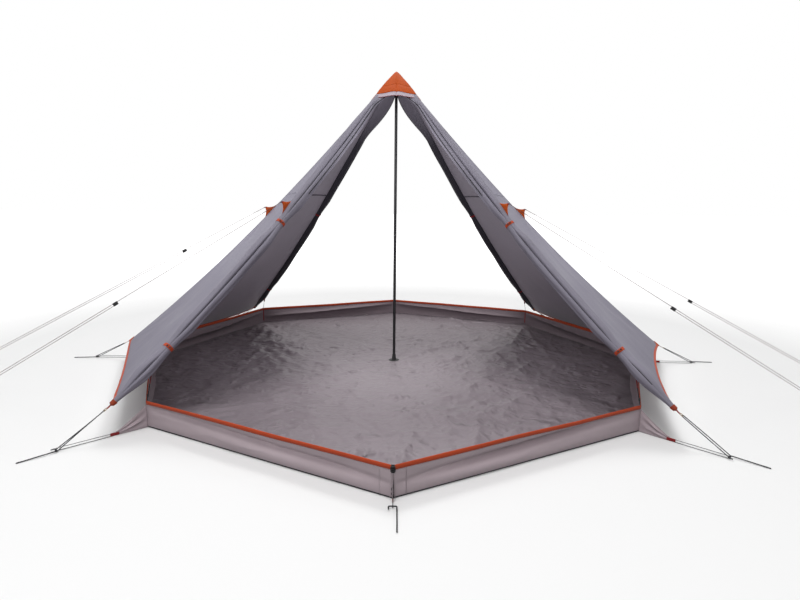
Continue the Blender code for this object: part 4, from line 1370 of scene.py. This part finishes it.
def capPlace(across, up):
    # up runs from the hem to the tip, which is rounded; the flanks bulge a little
    angle = across * math.tau
    point = capSurface(angle, capHem(angle) * (1 - up) + cap["tip"], cap["lift"])
    level = levelOf(point)
    bulge = 0.0035 * arch(up) + 0.0010 * roundRipple(angle, 3, up * 3)
    return point + level.normalized() * bulge - upBy(0.010 * bell(level.length, 0.012, 1))


def skirtPlace(across, up):
    # The cap's skirt lies over the tops of the panels
    angle = across * math.tau
    share = capHem(angle) + capSkirt(angle) - (capSkirt(angle) + cap["skirtUnder"]) * up
    base = capSurface(angle, share, cap["skirtLift"] - cap["skirtDrop"] * up)
    bulge = 0.0022 * arch(min(up * 1.1, 1)) + 0.0008 * roundRipple(angle, 4, up)
    return base + levelOf(base).normalized() * bulge


capCone = clothPiece("apex_cap_cloth", (cap["columns"], cap["rows"]), capPlace, (cap["around"], cap["up"]),
                     capCloth, 0.0012, ring=True, replaces=["apex_cap"])
skirt = clothPiece("apex_cap_skirt", (cap["columns"], 8), skirtPlace, (cap["around"], cap["skirtUp"]),
                   capCloth, 0.0010, ring=True)
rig.sheet(capCone, flat=(0.30, 0.30), held="stretched", with_pieces=[skirt],
         rests_on=["fly_cloth_left", "fly_cloth_right"], area=0.078)

# Profiles of (radius, height): tubes and pocket from the pole's own radius and ends, the foot from its base
pole = {"radius": 0.011, "split": 1.05, "bottom": 0.0087, "top": fly["apex"] - 0.075, "plug": 0.0598,
        "foot": 0.0023}
r, split, bottom, top = pole["radius"], pole["split"], pole["bottom"], pole["top"]
lower = [(0, bottom), (r - 0.001, bottom), (r, bottom + 0.001), (r, split - 0.050),
         (r * 1.035, split - 0.046), (r * 1.035, split - 0.003), (r * 1.02, split - 0.0008),
         (r * 0.9, split - 0.0004), (r * 0.9, split - 0.061), (0, split - 0.061)]
upper = [(0, split - pole["plug"]), (r * 0.87, split - pole["plug"]), (r * 0.87, split + 0.0003),
         (r * 0.96, split + 0.0005), (r, split + 0.002), (r, top - 0.004), (r * 0.9, top - 0.0015),
         (r * 0.6, top), (0, top)]
button = [(0, 0.0022), (0.0018, 0.0019), (0.0028, 0.0010), (0.0030, -0.0005), (0, -0.0005)]
foot = [(0.0114, 0.012), (0.0114, 0.0495), (0.0122, 0.0505), (0.0132, 0.0500), (0.0137, 0.0480),
        (0.0134, 0.0450), (0.0140, 0.0440), (0.0137, 0.0400), (0.0146, 0.0385), (0.0143, 0.0340),
        (0.0152, 0.0325), (0.0150, 0.0280), (0.0160, 0.0260), (0.0160, 0.0120), (0.0172, 0.0100),
        (0.0178, 0.0060), (0.0190, 0.0042), (0.0230, 0.0034), (0.0420, 0.0030), (0.0436, 0.0022),
        (0.0438, 0.0006), (0.0430, 0.0001), (0, 0.0001)]
pocket = [(0.0115, -0.046), (0.0150, -0.046), (0.0156, -0.044), (0.0152, -0.012), (0.030, -0.001),
          (0.046, 0.001), (0.030, 0.021), (0, 0.024)]


def facingFront(distance, height):
    return Matrix.Translation((0, -distance, height)) @ Matrix.Rotation(math.pi / 2, 4, "X")


turnedPiece("pole_tube_lower", lower, Matrix(), poleEnamel, 40, replaces=["pole_lower"])
turnedPiece("pole_tube_upper", upper, Matrix(), poleEnamel, 40, replaces=["pole_upper"])
turnedPiece("pole_snap_button", button, facingFront(r * 1.02, split - 0.028), zincSteel, 20)
turnedPiece("pole_foot_moulding", foot, Matrix.Translation((0, 0, pole["foot"])), footRubber, 56,
            replaces=["pole_foot"])
turnedPiece("apex_pocket_cup", pocket, Matrix.Translation((0, 0, top)), blackWebbing, 40,
            replaces=["apex_pocket"])
print("cap and pole done")


# Collars under the cap, zip tapes, and the doors' seams drawn dark as painted crease shade

collar = {"reach": {"front": 0.0110, "back": 0.0060}, "under": 0.006, "sag": 0.004, "lift": 0.0022,
          "edgeLift": 0.0012, "flat": (0.26, 0.045)}
zipTape = {"radius": {"front": 0.0030, "back": 0.0045}, "first": 0.004, "last": 0.40, "proud": 0.0010}
# sizes of the dark tube painted as crease shade beside each front roll
doorCreaseShade = {"first": 0.10, "length": 0.84, "radius": 0.0042, "sunk": -0.0012}


def makeCollar(door):
    first = cornerAngle(door) - cornerTurn

    def place(across, up, lift=collar["lift"]):
        angle = first + 2 * cornerTurn * across
        share = capHem(angle) + capSkirt(angle) - collar["under"]
        share += (collar["reach"][door] + collar["under"]) * up
        return capSurface(angle, share, lift) - upBy(collar["sag"] * up * arch(across))

    clothPiece("collar_" + door, (64, 10), place, collar["flat"], collarCloth, 0.0012)
    clothPiece("collar_edge_" + door, (64, 3),
               lambda across, up: place(across, 0.80 + 0.22 * up, collar["edgeLift"]),
               (collar["flat"][0], 0.010), redWebbing, 0.0022)


def makeZipTape(corner):
    # The door's zip track runs along the free edge of its gathered cloth
    door = doorOf(corner)
    points = []
    for step in evenSteps(70)[::3]:
        share = flyTop + zipTape["first"] + (zipTape["last"] - flyTop) * step
        turn = 1.5 * math.pi - 0.10 * smooth((share - rolls[door]["fan"]) * 8)
        points.append(rollPoint(corner, turn, share, zipTape["proud"]))
    tubePiece("zip_track_" + corner, smoothPath(points, 3), zipTape["radius"][door], blackWebbing)


def makeDoorCreaseShade(corner):
    # A near-black tube sunk in the long groove between the door's first turn and the rest of its roll: a seam runs
    # there, and the tube is drawn dark as painted shade of that crease
    places = [doorCreaseShade["first"] + doorCreaseShade["length"] * step for step in evenSteps(120)]
    points = [rollPoint(corner, rollLooks["front"][0][0], share, doorCreaseShade["sunk"]) for share in places]
    taper = [0.15 + 0.85 * rollSize(share, "front")[1] for share in places]
    tubePiece("door_crease_shade_" + corner, points, doorCreaseShade["radius"], blackSeam, taper=taper, slot="door_cloth")


for door in ("front", "back"):
    makeCollar(door)
for corner in doorCorners:
    makeZipTape(corner)
for corner in doorCorners[:2]:
    makeDoorCreaseShade(corner)
print("collars and zips done")

for corner in doorCorners[2:]:
    makeTies(corner)


# Tub corners: fins, loops, pegs and the straps up to the fly

fin = {"length": 0.17, "doorLength": 0.035, "tip": 0.022, "tab": 0.030, "doorTab": 0.004, "beside": 0.013,
       "cord": 0.0015, "loop": 0.0165, "low": 0.0008, "ground": 0.0006, "fold": 0.0045, "hem": 0.006,
       "hemLift": 0.0009}


def pegDistance(name):
    return tubCorner(cornerNames.index(name)).length + (peg["doorGap"] if name in rolls else peg["cornerGap"])


def cordLoop(near, far, middle, half):
    # Round the far end, back below, round the flatter near end and out above
    bends = [math.pi * share for share in evenSteps(12)]
    run = [far + (near - far) * step / 9 for step in range(1, 9)]
    return ([(far + half * math.sin(bend), middle + half * math.cos(bend)) for bend in bends]
            + [(x, middle - half) for x in run]
            + [(near - half * math.sin(bend) * 0.5, middle - half * math.cos(bend)) for bend in bends]
            + [(x, middle + half) for x in reversed(run)])


def makeWing(name):
    angle = cornerAngle(name)
    isDoor = name in rolls
    aside = levelSide(angle) * (0 if isDoor else fin["beside"])
    begin = heading(angle) * tubMitre(cornerNames.index(name), 0.0013).length
    hook = heading(angle) * pegDistance(name)
    place = uprightFrame(begin, (hook - aside - begin).normalized())
    length = fin["doorLength"] if isDoor else fin["length"]
    top = tub["height"] - tub["binding"] - 0.0003
    low = fin["low"]
    seed = angle * 3

    def topEdge(across):
        return (top - fin["tip"]) * (1 - across) ** 1.2 + fin["tip"]

    def finPlace(across, up):
        # Folds gather towards the tab at the fin's tip
        fold = 0.0050 * math.sin(15 * up + seed + across)
        fold += fin["fold"] * (ripple(across * 3, up * 3, seed) + crease(across * 2, up * 9, seed))
        pull = arch(min(across * 1.05, 1)) * arch(up)
        return place @ Vector((length * across, low + (topEdge(across) - low) * up, pull * fold))

    def hemPlace(across, up):
        point = finPlace(across, 1 - fin["hem"] / topEdge(across) * up)
        return point + place.to_3x3() @ Vector((0, 0, fin["hemLift"]))

    cloth = clothPiece("fin_cloth_" + name, (30, 22), finPlace, (length, top),
                       blackWebbing if isDoor else wallCloth, 0.0010, replaces=["tub_wing_" + name])
    hem = clothPiece("fin_hem_" + name, (30, 2), hemPlace, (length, fin["hem"]), wallCloth, 0.0012)
    area = sum((topEdge((step + 0.5) / 40) - low) * length / 40 for step in range(40))
    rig.sheet(cloth, flat=(length, top), held="stretched", with_pieces=[hem], area=area)
    tabEnd = length + (fin["doorTab"] if isDoor else fin["tab"])

    def tabPlace(across, up):
        # Webbing folded over the fin's tip and round the cord
        turn = (across - 0.5) * 2
        x = tabEnd - 0.001 - abs(turn) * (0.030 if isDoor else 0.046)
        spread = 0.0016 * (1 if turn > 0 else -1) * (1 - math.cos(min(abs(turn) * 12, 1) * math.pi / 2))
        high = fin["loop"] + 0.002 - low
        return place @ Vector((x, low + fin["ground"] + high * (0.04 + 0.92 * up), spread))

    clothPiece("fin_tab_" + name, (24, 4), tabPlace, (0.09, 0.018), redWebbing, 0.0011)
    # The cord loop: out of the tab, round the peg's hook and back
    half = fin["loop"] / 2 - fin["cord"]
    reach = (hook - aside - begin).length + peg["wire"] + guy["gap"] + fin["cord"]
    ring = cordLoop(tabEnd - 0.006, reach - half, fin["ground"] + fin["loop"] / 2, half)
    tubePiece("fin_loop_" + name, [place @ Vector((x, y, 0)) for x, y in ring], fin["cord"], blackBraid,
              ring=True)
    pegPiece("peg_corner_" + name, hook - aside / 2, heading(angle), "corner_peg_" + name)


strap = {
    "patchFlat": (0.06, 0.058), "patchWide": 0.030, "patchTip": 0.007, "patchBack": 0.052,
    "sleeveFlat": (0.08, 0.06), "sleeveLength": {"front": 0.034, "back": 0.060}, "sleeveOver": 0.010,
    "sleeveLift": 0.0022,
    "tab": 0.0145, "tabStep": 0.0055, "buckle": 0.043, "start": 0.050, "cord": 0.0026, "spread": 0.0052,
    "aside": 0.0018, "hook": peg["wire"] + 0.0028,
}


def strapCord(corner, hook, pull, side, square):
    # A doubled cord runs from the ladder-lock down to the hook, round its wire and back
    start, radius = strap["start"], strap["hook"]
    strands = []
    for way, bow in ((1, 0.0022), (-1, 0.0016)):
        strand = []
        for step in range(10):
            share = step / 10
            along = start + ((hook - corner).length - start) * share
            off = strap["aside"] + (radius - strap["aside"]) * share
            spread = strap["spread"] * (1 - share) + bow * arch(share)
            strand.append(corner + pull * along + (square * off + side * spread) * way)
        strands.append(strand)
    hooked = [math.pi * share for share in evenSteps(8)]
    hooked = [hook + (square * math.cos(bend) + pull * math.sin(bend)) * radius for bend in hooked]
    locked = [math.pi * step / 4 for step in range(1, 4)]
    locked = [corner + pull * start - (pull * math.sin(bend) + side * math.cos(bend)) * strap["spread"]
              for bend in locked]
    return strands[0] + hooked + strands[1][::-1] + locked


def makeStrap(name):
    # Orange patch or sleeve on the fly's corner, red tab, ladder-lock and a doubled black cord to the peg
    angle = cornerAngle(name)
    along, up = ridgeDirections(angle, 1)
    side = levelSide(angle)
    corner = ridgePoint(angle, 1)
    hook = heading(angle) * pegDistance(name) + upBy(peg["hookHeight"])
    pull = (hook - corner).normalized()
    square = side.cross(pull)
    if square.z < 0:
        square.negate()
    door = doorOf(name)

    def patchPlace(across, rise, under=0.0):
        # A doubled triangle folded over the corner, its point down the pull
        turn = (across - 0.5) * 2
        wide = strap["patchWide"] * (1 - rise) + strap["patchTip"] * rise
        lift = 0.0045 * (1 - abs(turn)) + 0.0012 - 0.010 * abs(turn) * (1 - rise)
        lift -= under * (0.0060 - 0.003 * rise)
        back = -strap["patchBack"] * (1 - rise) * (1 - 0.35 * abs(turn)) + 0.006 * rise
        return corner + along * back + side * wide * turn + up * lift

    def sleevePlace(across, rise):
        # A sleeve round the end of the roll, drawn in at its mouth
        share = 1 + (strap["sleeveOver"] - strap["sleeveLength"][door] * (1 - rise)) / ridgeRun
        size = rollSize(min(share, 1), door)[0] + strap["sleeveLift"]
        size *= 1 - 0.65 * smooth((rise - 0.75) * 4)
        turn = (across - 0.5) * math.tau * (0.86 - 0.25 * rise)
        return ridgePoint(angle, share, size * math.cos(turn)) + side * size * math.sin(turn)

    if name in doorCorners:
        clothPiece("corner_sleeve_" + name, (40, 16), sleevePlace, strap["sleeveFlat"],
                   sleeveTape if door == "front" else capCloth, 0.0012)
    else:
        clothPiece("corner_patch_upper_" + name, (16, 12), patchPlace, strap["patchFlat"], capCloth, 0.0012)
        clothPiece("corner_patch_lower_" + name, (16, 12), lambda across, rise: patchPlace(across, rise, 1),
                   strap["patchFlat"], capCloth, 0.0012)
    tab = [corner + pull * step * strap["tabStep"] + square * 0.0010 * math.sin(step) for step in range(7)]
    tapePiece("corner_tab_" + name, tab, side, strap["tab"], redWebbing, 0.0018)
    buckle("corner_buckle_" + name, uprightFrame(corner + pull * strap["buckle"], pull, square), strap["tab"],
           0.020, tanAcetal)
    tubePiece("corner_cord_" + name, strapCord(corner, hook, pull, side, square), strap["cord"], blackBraid,
              ring=True, replaces=["corner_strap_" + name])


connector = {"inward": 0.012, "under": 0.002, "low": 0.012, "inset": 0.0040, "knee": 0.004,
             "kneeInset": 0.0042, "cord": 0.0016, "strap": 0.011, "tab": 0.013, "strip": 0.009,
             "stripTop": 0.020, "stripStep": 0.0128}


def makeConnector(name):
    # A strap from the tub's corner up to the fly's underside
    out, side = heading(cornerAngle(name)), levelSide(cornerAngle(name))
    reach = tubCorner(cornerNames.index(name)).length
    share = (reach - connector["inward"]) / fly["radius"]
    drop = rollSize(share, doorOf(name))[0] if name in doorCorners else connector["under"]
    high = ridgePoint(cornerAngle(name), share, connector["under"] - drop)
    rear = name.startswith("back")
    low = out * (reach - connector["inset"]) + upBy(tub["height"] - connector["low"])
    knee = out * (reach - connector["kneeInset"]) + upBy(tub["height"] + connector["knee"])
    points = smoothPath([low, knee, knee.lerp(high, 0.35) - out * 0.001, knee.lerp(high, 0.70), high], 6)
    if rear:
        tubePiece("connector_cord_" + name, points, connector["cord"], blackBraid)
    else:
        rise = (high - knee).normalized()
        tapePiece("connector_strap_" + name, points, side, connector["strap"], blackWebbing, 0.0012)
        place = uprightFrame(knee.lerp(high, 0.18), rise, side.cross(rise))
        buckle("connector_buckle_" + name, place, connector["strap"], 0.018)
    tab = smoothPath([high.lerp(knee, drop) for drop in (0.0, 0.12, 0.25, 0.36)], 3)
    tapePiece("connector_tab_" + name, tab, side, connector["tab"], redWebbing, 0.0016)
    # Webbing sewn down the inside of the wall's corner
    stripTop = tub["height"] - connector["stripTop"]
    strip = [out * (reach - 0.0034 - 0.0010 * math.sin(step)) + upBy(stripTop - connector["stripStep"] * step)
             for step in range(10)]
    tapePiece("corner_strip_" + name, strip, side, connector["strip"], redWebbing if rear else blackWebbing,
              0.0012)


for name in cornerNames:
    makeWing(name)
    if name not in rolls:
        makeStrap(name)
        makeConnector(name)
print("corners done")


# Door corners of the tub: buckle on the binding and the gusset beside it

gusset = {"span": 0.062 / 1.52 / 8, "gap": 0.0004, "flat": (0.062, 0.126), "proud": 0.0010, "low": 0.03,
          "high": 0.80, "seams": (0.12, 0.90), "threadProud": 0.0006}


doorBuckle = {
    "proud": 0.0040, "below": 0.004, "strap": 0.016, "width": 0.017, "length": 0.024, "out": 0.0035,
    "down": 0.010,
    # the strap's way over the binding: how far outward and how far up
    "route": [(0, -0.030), (0.001, -0.012), (0.0008, 0.001), (-0.0040, 0.0068), (-0.0088, 0.001),
              (-0.0092, -0.020)],
}


def makeDoorBuckle(name):
    out, side = heading(cornerAngle(name)), levelSide(cornerAngle(name))
    reach = tubMitre(cornerNames.index(name), doorBuckle["proud"]).length
    top = out * reach + upBy(tub["height"] - doorBuckle["below"])
    points = smoothPath([top + out * ahead + upBy(rise) for ahead, rise in doorBuckle["route"]], 6)
    tapePiece("door_corner_strap_" + name, points, side, doorBuckle["strap"], blackWebbing, 0.0014)
    place = uprightFrame(top + out * doorBuckle["out"] - upBy(doorBuckle["down"]), -upBy(1), out)
    buckle("door_corner_buckle_" + name, place, doorBuckle["width"], doorBuckle["length"])


def makeGusset(name):
    # Bands of doubled cloth that meet at the corner, each sewn down its edges
    corner = cornerNames.index(name) / 8
    rows = []
    for hand, way in (("left", -1), ("right", 1)):
        def place(across, up, way=way):
            share = (corner + way * (gusset["gap"] + gusset["span"] * across)) % 1
            return wallPoint(share, gusset["low"] + gusset["high"] * up, gusset["proud"])

        clothPiece(f"wall_gusset_{name}_{hand}", (8, 20), place, gusset["flat"], wallCloth)
        out = tubNormal((corner + way * gusset["span"]) % 1)
        for across in gusset["seams"]:
            rows.append(([place(across, step) + out * gusset["threadProud"] for step in evenSteps(20)], out))
    stitchPiece("wall_gusset_stitches_" + name, rows, "wall_cloth")


for name in rolls:
    makeDoorBuckle(name)
    makeGusset(name)

# Rows of stitches under the binding: how high up the wall, and inside (-1) or out
wallSeams = ((0.845, -1), (0.80, -1), (0.85, 1))
wallRows = []
for index in range(8):
    out = tubNormal((index + 0.5) / 8)
    places = [(index + 0.002 + 0.996 * step) / 8 for step in evenSteps(120)]
    for rise, way in wallSeams:
        row = [wallPoint(share, rise, gusset["threadProud"] * way) for share in places]
        wallRows.append((row, out * way))
stitchPiece("wall_stitches", wallRows, "wall_cloth", pitch=0.0075, length=0.005, width=0.0013, proud=0.0005)
print("wall trim done")


# Fly trim: cross seams, stitches and the straps at the pole's top


def makeCrossSeam(side):
    for face, lift, finish in (("outer", 0.0010, flyCloth), ("inner", -0.0010, seamTape)):
        def place(across, up, lift=lift):
            share = flyLooks["crossShare"] + (up - 0.5) * flyLooks["crossSeam"] / ridgeRun
            return flyPoint(side, 0.004 + 0.992 * across, share, lift)

        clothPiece(f"fly_cross_seam_{face}_{side}", (100, 2), place, (1.3, flyLooks["crossSeam"]), finish,
                   slot="fly_cloth")


# Rows along the middle seam and along the hems, and how the hems' faces tilt
flySeams = {"start": 0.02, "end": 0.995, "beside": (-0.0024, 0.0024), "hem": (0.004, 0.0200), "inset": 0.02,
            "tilt": 0.76, "seamProud": 0.0015, "hemProud": 0.0021}


def makeFlyStitches(side):
    rows = []
    angle = flySides[side]["first"]
    start = flyTop + flySeams["start"]
    square = (ridgePoint(angle + cornerTurn, 0.5, 1.0) - ridgePoint(angle + cornerTurn, 0.5)).normalized()
    places = [start + (flySeams["end"] - start) * step for step in evenSteps(240)]
    for across in flySeams["beside"]:
        row = [flyPoint(side, 0.5 + across / max(share, 0.1), share, flySeams["seamProud"])
               for share in places]
        rows.append((row, square))
    for panel in (0, 1):
        out = heading(angle + panel * cornerTurn + halfTurn)
        face = out * math.sin(flySeams["tilt"]) + upBy(math.cos(flySeams["tilt"]))
        inset = flySeams["inset"]
        places = [(panel + inset + (1 - 2 * inset) * step) / 2 for step in evenSteps(120)]
        for back in flySeams["hem"]:
            row = [flyPoint(side, across, 1 - back / ridgeRun, flySeams["hemProud"]) for across in places]
            rows.append((row, face))
    stitchPiece("fly_stitches_" + side, rows, "fly_cloth", pitch=0.0075, length=0.0052, width=0.0010,
                proud=0.0004)


for side in ("left", "right"):
    makeCrossSeam(side)
    makeFlyStitches(side)

# Crossed webbing that carries the pocket, and a bright rivet where it meets
apexStrap = {"half": 0.050, "under": 0.002, "apart": 0.002, "droop": 0.013, "spring": 0.010, "width": 0.020}
spans = [step / 12 for step in range(-12, 13) if step]
for index in (0, 1):
    turn = index * math.pi / 2
    along = heading(turn + math.pi / 2) * apexStrap["half"]
    crest = top - apexStrap["under"] + apexStrap["apart"] * index
    points = [along * x + upBy(crest - apexStrap["droop"] * x * x + apexStrap["spring"] * abs(x))
              for x in spans]
    tapePiece(f"apex_strap_{index}", points, heading(turn), apexStrap["width"], blackWebbing, 0.0014)
rivet = [(0, 0.0026), (0.0030, 0.0023), (0.0044, 0.0012), (0.0048, 0.0), (0, 0.0)]
turnedPiece("apex_pocket_rivet", rivet, facingFront(0.0152, top - 0.024), zincSteel, 20)
print("fly trim done")

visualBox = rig.bounds()
with open("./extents.json", "w") as sizeFile:
    json.dump({"cad": [list(corner) for corner in cadBox], "visual": [list(corner) for corner in visualBox]}, sizeFile)
